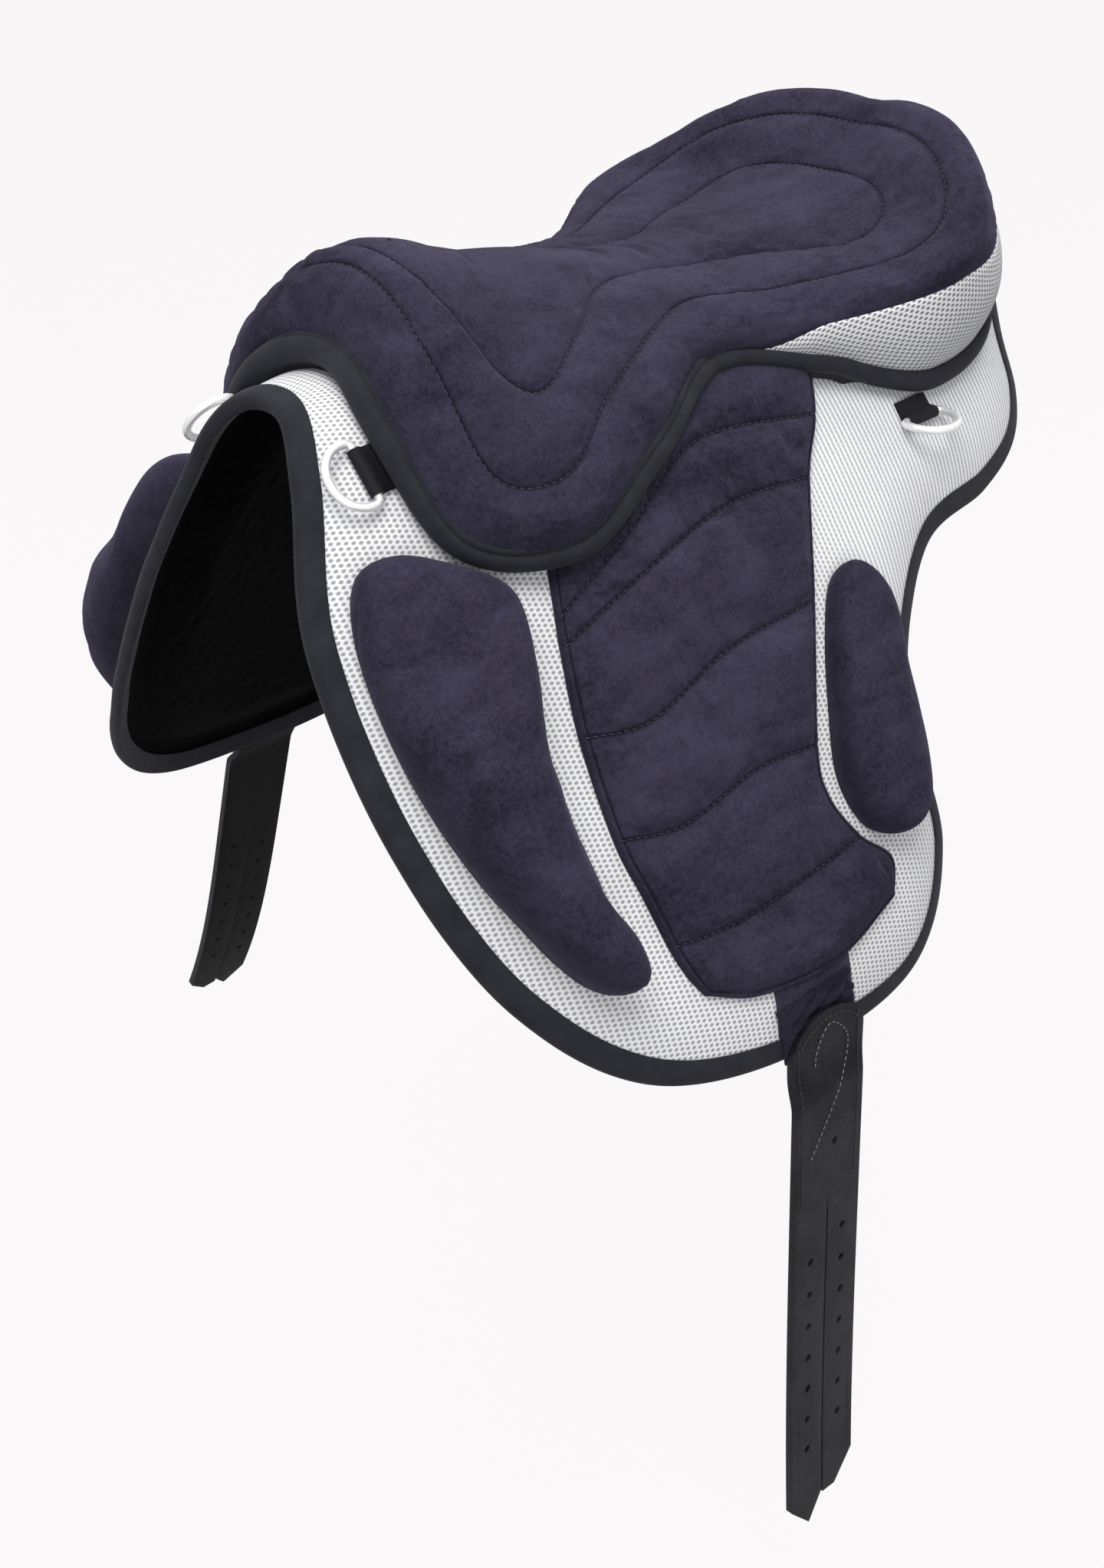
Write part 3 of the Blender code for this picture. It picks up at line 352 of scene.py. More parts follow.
def tube(path: Array, radius: float, around: int, closed: bool) -> Mesh:
    """A round wire or thread along a path.

    Args:
        path: Points of the centre line.
        radius: Radius of the wire.
        around: Faces round it.
        closed: Whether the path runs back to its start.

    Returns:
        The mesh, with capped ends if it is open.
    """
    ring = np.concatenate([path[-1:], path, path[:1]]) if closed else path
    run = np.gradient(ring, axis=0)[1:-1] if closed else np.gradient(ring, axis=0)
    run = unit(run)
    across = np.cross(run[0], (0.3, 0.5, 0.8))
    frames = []
    for direction in run:
        across = unit(across - direction * across.dot(direction))
        frames.append((across, np.cross(direction, across)))
    made = bmesh.new()
    rings = []
    for point, (side, up) in zip(path, frames):
        turned = Matrix((side, up, np.cross(side, up))).transposed().to_4x4()
        turned.translation = point
        ends = bmesh.ops.create_circle(made, segments=around, radius=radius, matrix=turned)
        rings.append([v for v in ends["verts"]])
    pairs = list(zip(rings, rings[1:] + rings[:1])) if closed else list(zip(rings, rings[1:]))
    for low, high in pairs:
        edges = {e for ring_verts in (low, high) for v in ring_verts for e in v.link_edges
                 if all(w in ring_verts for w in e.verts)}
        bmesh.ops.bridge_loops(made, edges=list(edges))
    if not closed:
        for ends in (rings[0], rings[-1]):
            bmesh.ops.contextual_create(made, geom=ends)
    bmesh.ops.recalc_face_normals(made, faces=made.faces)
    return made


@dataclass(frozen=True)
class Stitch:
    """A thread stitch, which shows as a small rounded lozenge."""

    pitch: float = 0.0042
    share: float = 0.72
    radius: float = 0.00034

    def row(self, path: Array, out: Array) -> Mesh:
        """A row of stitches.

        Args:
            path: Points that the row follows.
            out: Direction away from the cloth at each point.

        Returns:
            The mesh of the whole row.
        """
        length = run_along(path)
        half = self.pitch * self.share / 2
        made = bmesh.new()
        for start in np.arange(self.pitch / 2, length[-1] - self.pitch / 2, self.pitch):
            low, high = (
                np.array([np.interp(start + d, length, c) for c in path.T]) for d in (-half, half)
            )
            up = np.array([np.interp(start, length, c) for c in out.T])
            size = np.linalg.norm(high - low)
            run = (high - low) / size
            up = unit(up - run * up.dot(run))
            turned = Matrix((run, np.cross(up, run), up)).transposed().to_4x4()
            turned.translation = (low + high) / 2
            stretch = Matrix.Diagonal((size / 2 + self.radius, self.radius, self.radius, 1))
            bmesh.ops.create_icosphere(made, subdivisions=1, radius=1, matrix=turned @ stretch)
        return made


# Shader maths


def by_maths(operation: str) -> Callable[..., "Wire"]:
    """A method of a wire that gives the result of a Math node on it and the values given."""
    return lambda wire, *others: wire.maths(operation, *others)


class Wire:
    """A shader socket that takes part in sums."""

    def __init__(self, tree: bpy.types.NodeTree, socket: bpy.types.NodeSocket) -> None:
        """Keeps the socket and the tree that its sums are added to."""
        self.tree = tree
        self.socket = socket

    def maths(self, operation: str, *others: "Wire | float") -> "Wire":
        """The result of a Math node of this operation on this and the other values."""
        node = self.tree.nodes.new("ShaderNodeMath")
        node.operation = operation
        self.tree.links.new(self.socket, node.inputs[0])
        for k, other in enumerate(others, start=1):
            if isinstance(other, Wire):
                self.tree.links.new(other.socket, node.inputs[k])
            else:
                node.inputs[k].default_value = other
        return Wire(self.tree, node.outputs[0])

    def __rsub__(self, other: float) -> "Wire":
        """A number less this."""
        return self * -1.0 + other

    __add__ = __radd__ = by_maths("ADD")
    __mul__ = __rmul__ = by_maths("MULTIPLY")
    __sub__ = by_maths("SUBTRACT")
    __truediv__ = by_maths("DIVIDE")
    least = by_maths("MINIMUM")
    part = by_maths("FRACT")
    sine = by_maths("SINE")
    size = by_maths("ABSOLUTE")

    def between(self, low: float, high: float) -> "Wire":
        """A smooth change from 0 at low and below to 1 at high and above."""
        node = self.tree.nodes.new("ShaderNodeMapRange")
        node.interpolation_type = "SMOOTHSTEP"
        self.tree.links.new(self.socket, node.inputs["Value"])
        node.inputs["From Min"].default_value = low
        node.inputs["From Max"].default_value = high
        return Wire(self.tree, node.outputs["Result"])


class Finish:
    """A material while it is being made."""

    def __init__(self, name: str, roughness: float, metallic: float = 0.0) -> None:
        """Starts a material.

        Args:
            name: Its name.
            roughness: Its roughness where nothing varies it.
            metallic: How far it is a metal.
        """
        self.material = bpy.data.materials.new(name)
        self.material.use_nodes = True
        self.tree = self.material.node_tree
        self.shader = self.tree.nodes["Principled BSDF"]
        self.fix(Roughness=roughness, Metallic=metallic)

    def fix(self, **values: float) -> None:
        """Sets sockets of the shader that are the same all over, named with _ for a space."""
        for name, value in values.items():
            self.shader.inputs[name.replace("_", " ")].default_value = value

    def node(self, kind: str, settings: dict[str, object], **sockets: object) -> bpy.types.Node:
        """Adds a node.

        Args:
            kind: Its type.
            settings: Its settings, which are set first.
            sockets: Values or wires of its sockets, named with _ for a space.

        Returns:
            The node.
        """
        made = self.tree.nodes.new(kind)
        for name, value in settings.items():
            setattr(made, name, value)
        for name, value in sockets.items():
            socket = made.inputs[name.replace("_", " ")]
            if isinstance(value, Wire):
                self.tree.links.new(value.socket, socket)
            else:
                socket.default_value = value
        return made

    def wire(self, node: bpy.types.Node, output: str | int = 0) -> Wire:
        """One of a node's outputs as a wire."""
        return Wire(self.tree, node.outputs[output])

    def where(self) -> Wire:
        """The place on the object, in metres."""
        return self.wire(self.node("ShaderNodeTexCoord", {}), "Object")

    def cloth_axes(self) -> tuple[Wire, Wire]:
        """The two coordinates of the piece's own unrolled cloth, in metres."""
        flat = self.wire(self.node("ShaderNodeUVMap", {"uv_map": "cloth"}))
        split = self.node("ShaderNodeSeparateXYZ", {}, Vector=flat)
        return self.wire(split, "X"), self.wire(split, "Y")

    def noise(
        self, scale: float, detail: float = 3.0, roughness: float = 0.55,
        squash: Sequence[float] = ON_AXES,
    ) -> Wire:
        """Cloudy variation over the object.

        Args:
            scale: Clouds to the metre.
            detail: Octaves.
            roughness: How strong the finer ones are.
            squash: Factor on the clouds' number along each axis.

        Returns:
            A value from 0 to 1.
        """
        spread = self.node("ShaderNodeVectorMath", {"operation": "MULTIPLY"}, Vector=self.where())
        spread.inputs[1].default_value = squash
        node = self.node(
            "ShaderNodeTexNoise", {}, Vector=self.wire(spread), Scale=scale, Detail=detail,
            Roughness=roughness,
        )
        return self.wire(node, "Fac")

    def mark(self, name: str) -> Wire:
        """A value that the mesh holds at each point, or 0 where it holds none."""
        return self.wire(self.node("ShaderNodeAttribute", {"attribute_name": name}), "Fac")

    def mixed(self, share: Wire, low: Sequence[float], high: Sequence[float]) -> Wire:
        """A colour from low, where the share is 0, to high, where it is 1."""
        node = self.tree.nodes.new("ShaderNodeMix")
        node.data_type = "RGBA"
        self.tree.links.new(share.socket, node.inputs["Factor"])
        ends = [s for s in node.inputs if s.type == "RGBA"]
        for socket, colour in zip(ends, (low, high)):
            if isinstance(colour, Wire):
                self.tree.links.new(colour.socket, socket)
            else:
                socket.default_value = (*colour, 1)
        return Wire(self.tree, next(s for s in node.outputs if s.type == "RGBA"))

    def feed(self, name: str, wire: Wire) -> None:
        """Links a wire to one of the shader's sockets."""
        self.tree.links.new(wire.socket, self.shader.inputs[name])

    def relief(self, height: Wire, depth: float, strength: float = 1.0) -> None:
        """Bumps the surface by a height from 0 to 1, of which 1 is the depth in metres."""
        bump = self.node(
            "ShaderNodeBump", {}, Height=height, Distance=depth, Strength=strength
        )
        self.feed("Normal", self.wire(bump))


@dataclass(frozen=True)
class Suede:
    """Brushed synthetic suede: short nap with lighter and darker strokes."""

    name: str = "suede"
    dark: Triple = (0.0120, 0.0104, 0.0195)
    light: Triple = (0.0470, 0.0415, 0.0730)
    # Colour of the painted shade in seams, folds and creases.
    crease: Triple = (0.0030, 0.0026, 0.0045)

    def material(self) -> Material:
        """Makes the material."""
        finish = Finish(self.name, 0.92)
        strokes = finish.noise(34, 9, 0.78, (1.0, 0.5, 1.4))
        smears = finish.noise(11, 4, 0.55, (1.2, 0.8, 0.6))
        clouds = finish.noise(420, 4, 0.6)
        nap = finish.noise(1500, 2)
        share = (strokes * 0.38 + smears * 0.24 + clouds * 0.20 + nap * 0.18).between(0.38, 0.62)
        colour = finish.mixed(share, self.dark, self.light)
        # Painted shade: the pieces' "seam" mark darkens the suede towards the crease colour along
        # seam grooves, hem folds and the pads' lower walls.
        seam = finish.mark("seam").least(1.0) * 0.85
        finish.feed("Base Color", finish.mixed(seam, colour, self.crease))
        finish.feed("Roughness", 0.98 - share * 0.10)
        finish.fix(Sheen_Weight=0.10, Sheen_Roughness=0.5, Specular_IOR_Level=0.10)
        finish.shader.inputs["Sheen Tint"].default_value = (0.66, 0.62, 0.95, 1)
        finish.relief(nap * 0.6 + clouds * 0.4, 0.0006, 0.6)
        return finish.material


@dataclass(frozen=True)
class SpacerMesh:
    """Pale spacer mesh: staggered holes between knitted ribs, or ribs alone where it is taut."""

    name: str = "spacer_mesh"
    thread: Triple = (0.97, 0.97, 0.975)
    shaded: Triple = (0.86, 0.86, 0.875)
    # Colours of the painted shade in the holes and in the grooves between ribs.
    hole_shade: Triple = (0.36, 0.36, 0.38)
    groove: Triple = (0.48, 0.48, 0.50)
    column: float = 0.0031
    row: float = 0.0027
    hole_shade_width: float = 0.0020
    hole_shade_length: float = 0.0015
    taut: Pair | None = (0.19, 0.26)

    def material(self) -> Material:
        """Makes the material."""
        finish = Finish(self.name, 0.80)
        back, down = finish.cloth_axes()
        masks = []
        for shift in (0.0, 0.5):
            u = ((back / (2 * self.column) + shift).part() - 0.5) * (2 * self.column)
            v = ((down / self.row + shift).part() - 0.5) * self.row
            u, v = u / (self.hole_shade_width / 2), v / (self.hole_shade_length / 2)
            masks.append(u * u + v * v)
        solid = masks[0].least(masks[1]).between(0.15, 2.1)
        rib = ((back / self.column + 0.5).part() - 0.5).size().between(0.02, 0.32)
        thread = finish.mixed(finish.noise(60), self.shaded, self.thread)
        # Painted shade: holes take the hole colour and, where taut, the grooves between ribs take
        # the groove colour, both darker than the thread for the shade inside them.
        colour = finish.mixed(solid, self.hole_shade, thread)
        height = solid * 0.8 + rib * 0.2
        if self.taut:
            ribs = back.between(*self.taut)
            grooved = finish.mixed(rib * 0.85 + solid * 0.15, self.groove, thread)
            colour = finish.mixed(ribs, colour, grooved)
            height = height * (1 - ribs) + (rib * 0.7 + solid * 0.3) * ribs
        finish.feed("Base Color", colour)
        finish.fix(Sheen_Weight=0.10, Sheen_Roughness=0.5, Specular_IOR_Level=0.2)
        finish.relief(height, 0.0005, 0.7)
        return finish.material


@dataclass(frozen=True)
class EdgeTape:
    """Charcoal binding tape with a fine twill."""

    dark: Triple = (0.0140, 0.0145, 0.0200)
    light: Triple = (0.0280, 0.0290, 0.0385)
    rib: float = 0.0011

    def material(self) -> Material:
        """Makes the material."""
        finish = Finish("edge_tape", 0.78)
        along, across = finish.cloth_axes()
        twill = ((along + across) / self.rib * (2 * math.pi)).sine() * 0.5 + 0.5
        share = (finish.noise(70) * 0.8 + twill * 0.2).between(0.25, 0.85)
        finish.feed("Base Color", finish.mixed(share, self.dark, self.light))
        finish.fix(Sheen_Weight=0.05, Sheen_Roughness=0.5, Specular_IOR_Level=0.15)
        finish.relief(twill * 0.5 + finish.noise(900, 2) * 0.5, 0.0003, 0.6)
        return finish.material


@dataclass(frozen=True)
class Fleece:
    """Black fleece with a deep, tufted pile."""

    dark: Triple = (0.0006, 0.0006, 0.0009)
    light: Triple = (0.0026, 0.0026, 0.0034)

    def material(self) -> Material:
        """Makes the material."""
        finish = Finish("fleece", 1.0)
        tufts = finish.noise(170, 4, 0.7)
        share = tufts.between(0.35, 0.65)
        finish.feed("Base Color", finish.mixed(share, self.dark, self.light))
        finish.fix(Specular_IOR_Level=0.04)
        finish.relief(tufts, 0.0030, 0.8)
        return finish.material


@dataclass(frozen=True)
class Webbing:
    """Black woven webbing or lining cloth."""

    name: str = "webbing"
    colour: Triple = (0.0045, 0.0045, 0.0060)
    pitch: float = 0.0014

    def material(self) -> Material:
        """Makes the material."""
        finish = Finish(self.name, 0.75)
        finish.fix(Specular_IOR_Level=0.25)
        split = finish.node("ShaderNodeSeparateXYZ", {}, Vector=finish.where())
        x, y, z = (finish.wire(split, axis) for axis in "XYZ")
        turn = 2 * math.pi / self.pitch
        weave = (x * turn).sine() * (y * turn).sine() * (z * turn).sine() * 0.5 + 0.5
        pale = tuple(1.8 * c for c in self.colour)
        finish.feed("Base Color", finish.mixed(weave, self.colour, pale))
        finish.relief(weave, 0.0004, 0.7)
        return finish.material


@dataclass(frozen=True)
class StrapLeather:
    """Black bridle leather with a fine grain and paler patches of painted sheen."""

    name: str = "strap_leather"
    dark: Triple = (0.0022, 0.0021, 0.0034)
    light: Triple = (0.0200, 0.0188, 0.0270)
    gloss: float = 0.17

    def material(self) -> Material:
        """Makes the material."""
        finish = Finish(self.name, 0.48)
        sheen_patches = finish.noise(26, 7, 0.72, (0.8, 1.3, 1.0))
        grain = finish.wire(
            finish.node(
                "ShaderNodeTexVoronoi", {"feature": "DISTANCE_TO_EDGE"},
                Vector=finish.where(), Scale=900.0,
            ),
            "Distance",
        ).between(0.0, 0.22)
        # Painted sheen: the paler patches stand in for highlights; the same patches also vary the
        # roughness.
        share = sheen_patches.between(0.38, 0.64)
        finish.feed("Base Color", finish.mixed(share, self.dark, self.light))
        finish.feed("Roughness", 0.40 + sheen_patches * 0.22)
        finish.fix(Specular_IOR_Level=self.gloss)
        finish.relief(grain * 0.35 + finish.noise(150, 5, 0.7) * 0.65, 0.0010, 0.7)
        return finish.material


@dataclass(frozen=True)
class RingSteel:
    """Polished, nickel-plated ring wire."""

    def material(self) -> Material:
        """Makes the material."""
        finish = Finish("ring_steel", 0.26, 0.45)
        wear = finish.noise(300, 3)
        finish.feed("Base Color", finish.mixed(wear, (0.93, 0.93, 0.94), (1.0, 1.0, 1.0)))
        finish.feed("Roughness", 0.30 + wear * 0.10)
        return finish.material


@dataclass(frozen=True)
class Thread:
    """Sewing thread."""

    name: str
    colour: Triple

    def material(self) -> Material:
        """Makes the material."""
        finish = Finish(self.name, 0.7)
        twist = finish.noise(2500, 2)
        pale = tuple(min(1.0, 1.5 * c) for c in self.colour)
        finish.feed("Base Color", finish.mixed(twist, self.colour, pale))
        return finish.material


class Finishes:
    """Every finish of the saddle, made once."""

    def __init__(self) -> None:
        """Makes the materials."""
        self.suede = Suede().material()
        self.hanger = Suede(
            "hanger_cloth", (0.0070, 0.0062, 0.0110), (0.0240, 0.0215, 0.0370)
        ).material()
        self.mesh = SpacerMesh().material()
        # The wall mesh's holes carry deeper painted shade.
        self.wall_mesh = SpacerMesh("wall_mesh", hole_shade=(0.22, 0.22, 0.235), taut=None).material()
        self.tape = EdgeTape().material()
        self.fleece = Fleece().material()
        self.webbing = Webbing().material()
        self.lining = Webbing("lining_cloth", (0.0035, 0.0035, 0.004)).material()
        self.leather = StrapLeather().material()
        # Painted shade: a darker copy of the leather for the flesh side. Its low gloss is the flesh
        # side's own, and its darker colour stands in for shade on the faces turned away.
        self.flesh_side = StrapLeather(
            "leather_flesh_side", (0.0012, 0.0012, 0.0015), (0.0045, 0.0045, 0.0055), 0.04
        ).material()
        self.steel = RingSteel().material()
        self.dark_thread = Thread("dark_thread", (0.030, 0.027, 0.046)).material()
        self.strap_thread = Thread("strap_thread", (0.020, 0.020, 0.024)).material()
        self.pale_thread = Thread("grey_thread", (0.15, 0.15, 0.16)).material()


# The base and its surface


@dataclass
class BackSurface:
    """Outer face of the base: sections across the horse's back, rolled over towards its edge.

    Places on it are distances back from the front arch and down from the spine, as if unrolled.
    """

    length: float = 0.540
    ridge_radius: Triple = (0.035, 0.070, 0.045)
    side_slope: Triple = (58.0, 54.0, 58.0)
    flap_flare: Triple = (-2.0, 18.0, 9.0)
    flare_start: float = 0.100
    flare_length: float = 0.400
    ridge_power: float = 1.6
    spine_fall: float = 0.006
    spine_sag: float = 0.004
    spine_depth: float = 0.0054
    outline: tuple[Pair, ...] = (
        (0, 0), (-18, 58), (-43, 130), (-46, 230), (-26, 320), (24, 385), (110, 416),
        (198, 416), (246, 366), (259, 280), (311, 216), (376, 201), (416, 184), (438, 158),
        (449, 122), (469, 80), (487, 40), (492, 0),
    )
    roll: float = 0.011
    roll_at_spine: float = 0.004
    roll_width: float = 0.045
    roll_full: float = 0.120
    ribs: int = 260
    edge: Array = field(init=False)
    inward: Array = field(init=False)

    def __post_init__(self) -> None:
        """Works out the outline's points and their inward directions."""
        curve = smooth_points(np.array(self.outline) * MM, 24, mirror=(1, -1))
        self.edge = along_curve(curve, np.linspace(0, 1, self.ribs + 1))
        ghost = np.concatenate([self.edge[1:2] * (1, -1), self.edge, self.edge[-2:-1] * (1, -1)])
        run = ghost[2:] - ghost[:-2]
        self.inward = unit(np.stack([run[:, 1], -run[:, 0]], axis=1))

    def outer(self, back: Array, down: Array) -> Array:
        """Points on the face before it rolls over, and before the origin is moved to the spine.

        Args:
            back: Distances behind the front arch.
            down: Distances down from the spine, negative on the right side.

        Returns:
            One point a row.
        """
        back, down = np.broadcast_arrays(np.asarray(back, float), np.asarray(down, float))
        t = back / self.length
        held = np.clip(t, -0.15, 1.15)

        def value(trio: Triple) -> Array:
            front, middle, rear = trio
            curve = front * (1 - held) * (1 - 2 * held) + middle * 4 * held * (1 - held)
            return (curve + rear * held * (2 * held - 1))[..., None]

        arc = np.abs(down)[..., None] * np.linspace(0, 1, 25)
        rise = 1 - np.exp(-((arc / value(self.ridge_radius)) ** self.ridge_power))
        flare = np.clip((arc - self.flare_start) / self.flare_length, 0, 2)
        angle = np.radians(value(self.side_slope)) * rise
        angle = angle + np.radians(value(self.flap_flare)) * flare
        x = np.trapz(np.cos(angle), arc) * np.where(down >= 0, 1, -1)
        z = -np.trapz(np.sin(angle), arc) - self.spine_fall * t
        return np.stack([x, back, z - self.spine_sag * 4 * t * (1 - t)], axis=-1)

    def origin(self) -> Array:
        """The underside of the channel, half way along the base."""
        middle = self.outer(np.array(self.length / 2), np.array(0.0))
        return middle - np.array([0, 0, self.spine_depth])

    def inset(self, back: Array, down: Array) -> Array:
        """Distance of each place within the outline, on the unrolled base; negative beyond it."""
        back, down = np.broadcast_arrays(np.asarray(back, float), np.asarray(down, float))
        places = np.stack([back.ravel(), np.abs(down).ravel()], axis=-1)
        start, run = self.edge[:-1], np.diff(self.edge, axis=0)
        found = np.empty(len(places))
        for low in range(0, len(places), 4000):
            apart = places[low : low + 4000, None] - start
            t = np.clip((apart * run).sum(-1) / (run**2).sum(-1), 0, 1)
            apart = apart - run * t[..., None]
            gap = np.linalg.norm(apart, axis=-1)
            k = gap.argmin(1)
            nearest = np.arange(len(k)), k
            heading = self.inward[k] + self.inward[k + 1]
            found[low : low + 4000] = np.copysign(gap[nearest], (apart[nearest] * heading).sum(-1))
        return found.reshape(back.shape)

    def drop(self, back: Array, down: Array) -> Array:
        """How far the face has rolled over at each place."""
        depth = self.roll_at_spine + (self.roll - self.roll_at_spine) * ease(
            0, self.roll_full, np.abs(down)
        )
        return depth * np.maximum(1 - self.inset(back, down) / self.roll_width, 0) ** 2

    def face(self, back: Array, down: Array, height: Array) -> Array:
        """Points at heights over the face before it rolls over, in the frame of the saddle."""
        back, down = np.asarray(back, float), np.asarray(down, float)
        rear = self.outer(back + MM, down) - self.outer(back - MM, down)
        low = self.outer(back, down + MM) - self.outer(back, down - MM)
        normal = unit(np.cross(low, rear))
        lift = np.asarray(height, float)[..., None]
        return self.outer(back, down) + normal * lift - self.origin()

    def at(self, back: Array, down: Array, height: Array) -> Array:
        """Points at heights over the rolled face, in the saddle's own frame."""
        return self.face(back, down, height - self.drop(back, down))

    def axes(self, back: Array, down: Array) -> tuple[Array, ...]:
        """Unit vectors rearward, down the flap and out of the rolled face."""
        back, down = np.asarray(back, float), np.asarray(down, float)
        rear = unit(self.at(back + MM, down, 0.0) - self.at(back - MM, down, 0.0))
        low = self.at(back, down + MM, 0.0) - self.at(back, down - MM, 0.0)
        low = unit(low - rear * (low * rear).sum(-1, keepdims=True))
        return rear, low, np.cross(low, rear)


BACK = BackSurface()


def mirrored(points: Array, side: Side) -> Array:
    """Points of the left side, or their mirror images."""
    return points * np.array([side.value, 1, 1])


@dataclass
class SaddleBase:
    """Soft base: mesh cover, fleece linings, channel cloth and the tape round the edge."""

    finishes: Finishes
    feet: Pair = (0.085, 0.400)
    cover: float = 0.003
    pad: float = 0.0214
    pad_edge: float = 0.0050
    pad_taper: Pair = (0.008, 0.054)
    channel_half: float = 0.022
    tape_width: float = 0.010
    tape_out: float = 0.0018
    ribs: int = BACK.ribs
    steps: int = 56

    def spread(self, u: Array, v: Array) -> tuple[Array, Array]:
        """Place on the unrolled base of a share round the outline and out from the spine.

        Args:
            u: Shares round the outline, from the front arch to the rear.
            v: Shares from the spine to the edge.

        Returns:
            Distances back and down.
        """
        k = u * self.ribs
        back, down = (np.interp(k, np.arange(self.ribs + 1), c) for c in BACK.edge.T)
        foot = self.feet[0] + (self.feet[1] - self.feet[0]) * u**1.1
        out = 1 - (1 - v) ** 1.25
        return foot + (back - foot) * out, down * out

    def fan(self, side: Side, height: Callable[..., Array]) -> Mesh:
        """A sheet over one side of the base, at the heights that a function of places gives."""

        def place(u: Array, v: Array) -> Array:
            back, down = self.spread(u, v)
            return mirrored(BACK.at(back, down, height(back, down)), side)

        def flat(u: Array, v: Array) -> Array:
            back, down = self.spread(u, v)
            return np.stack([back, side.value * down], axis=-1)

        return bent_grid(self.ribs, self.steps, place, flat)

    def build_cover(self) -> None:
        """The mesh cover, one sheet over both sides."""
        made = both_halves(lambda side: self.fan(side, lambda b, d: np.zeros(len(b))))
        face_out(made, (0, 0, 1))
        Dressing(
            "base_cover", self.finishes.mesh, "spacer_mesh", thickness=self.cover * 0.9,
            replaces=("base_mesh_cover", "base_foam_left", "base_foam_right"), padding=0.5,
        ).piece(made)

    def under(self, back: Array, down: Array) -> Array:
        """Height of the lining: thick pads each side, thin at the edge and over the spine."""
        gap = BACK.inset(back, down)
        full = ease(*self.pad_taper, gap)
        beside = ease(self.channel_half - 0.004, self.channel_half + 0.012, np.abs(down))
        thick = self.pad_edge + (self.pad - self.pad_edge) * full
        inner = 0.0054 + (thick - 0.0054) * beside
        edge = 1 - ease(0.010, 0.030, gap)
        depth = inner * (1 - edge) + self.pad_edge * edge
        tufts = ripple(np.stack([back, down], axis=-1), 0.012, 3) * 0.0006
        return -(depth + tufts * full * beside)

    def build_lining(self) -> None:
        """Black fleece under both sides, with the plain channel between."""
        for side in Side:
            made = self.fan(side, self.under)
            face_out(made, (0, 0, -1))
            Dressing(
                f"fleece_pile_{side.label}", self.finishes.fleece, "fleece", thickness=0.0022,
                replaces=(f"fleece_lining_{side.label}",), padding=0.5,
            ).piece(made)
        made = node_copy("spine_channel_cloth")
        Dressing(
            "channel_cloth", self.finishes.lining, "lining_cloth",
            replaces=("spine_channel_cloth",),
        ).piece(made)

    def build_tape(self) -> None:
        """Tape folded round the whole edge, rounded over and a little fuller than the base."""
        stack, out, wide = self.pad_edge, self.tape_out, self.tape_width
        profile = smooth_points(
            [
                (wide, 0.0003), (wide + 0.0004, out * 0.7), (wide * 0.7, out * 1.02),
                (wide * 0.3, out * 1.04), (0.0006, out * 0.85), (-out * 0.70, out * 0.05),
                (-out, -stack * 0.4), (-out * 0.95, -stack * 0.8), (-out * 0.4, -stack - out * 0.6),
                (0.0010, -stack - out), (wide * 0.6, -stack - out * 1.05),
                (wide + 0.0003, -stack - out * 0.8), (wide, -stack - 0.0003),
            ],
            4,
        )
        lengths, run = run_along(profile), run_along(BACK.edge)

        spot = BACK.edge[:, None] + BACK.inward[:, None] * profile[:, :1]
        spot[[0, -1], :, 1] = 0.0
        height = profile[:, 1] + ripple(BACK.edge, 0.05, 5)[:, None] * 0.0002
        points = BACK.at(spot[..., 0], spot[..., 1], height)
        flat = np.stack(np.broadcast_arrays(run[:, None], lengths), axis=-1)
        made = both_halves(lambda side: grid_of(mirrored(points, side), flat))
        bmesh.ops.recalc_face_normals(made, faces=made.faces)
        Dressing(
            "base_edge_tape", self.finishes.tape, "binding_tape", replaces=("base_binding",)
        ).piece(made)

    def build_straps(self) -> None:
        """The girth webbing, faced with suede, and the hook strips under the seat."""
        for node, slot, finish in (
            ("girth_webbing", "webbing", self.finishes.suede),
            ("hook_strip_left", "hook_tape", self.finishes.webbing),
            ("hook_strip_right", "hook_tape", self.finishes.webbing),
        ):
            Dressing(f"{node}_cloth", finish, slot, replaces=(node,)).piece(node_copy(node))

    def build(self) -> None:
        """Makes every piece of the base."""
        self.build_cover()
        self.build_lining()
        self.build_tape()
        self.build_straps()


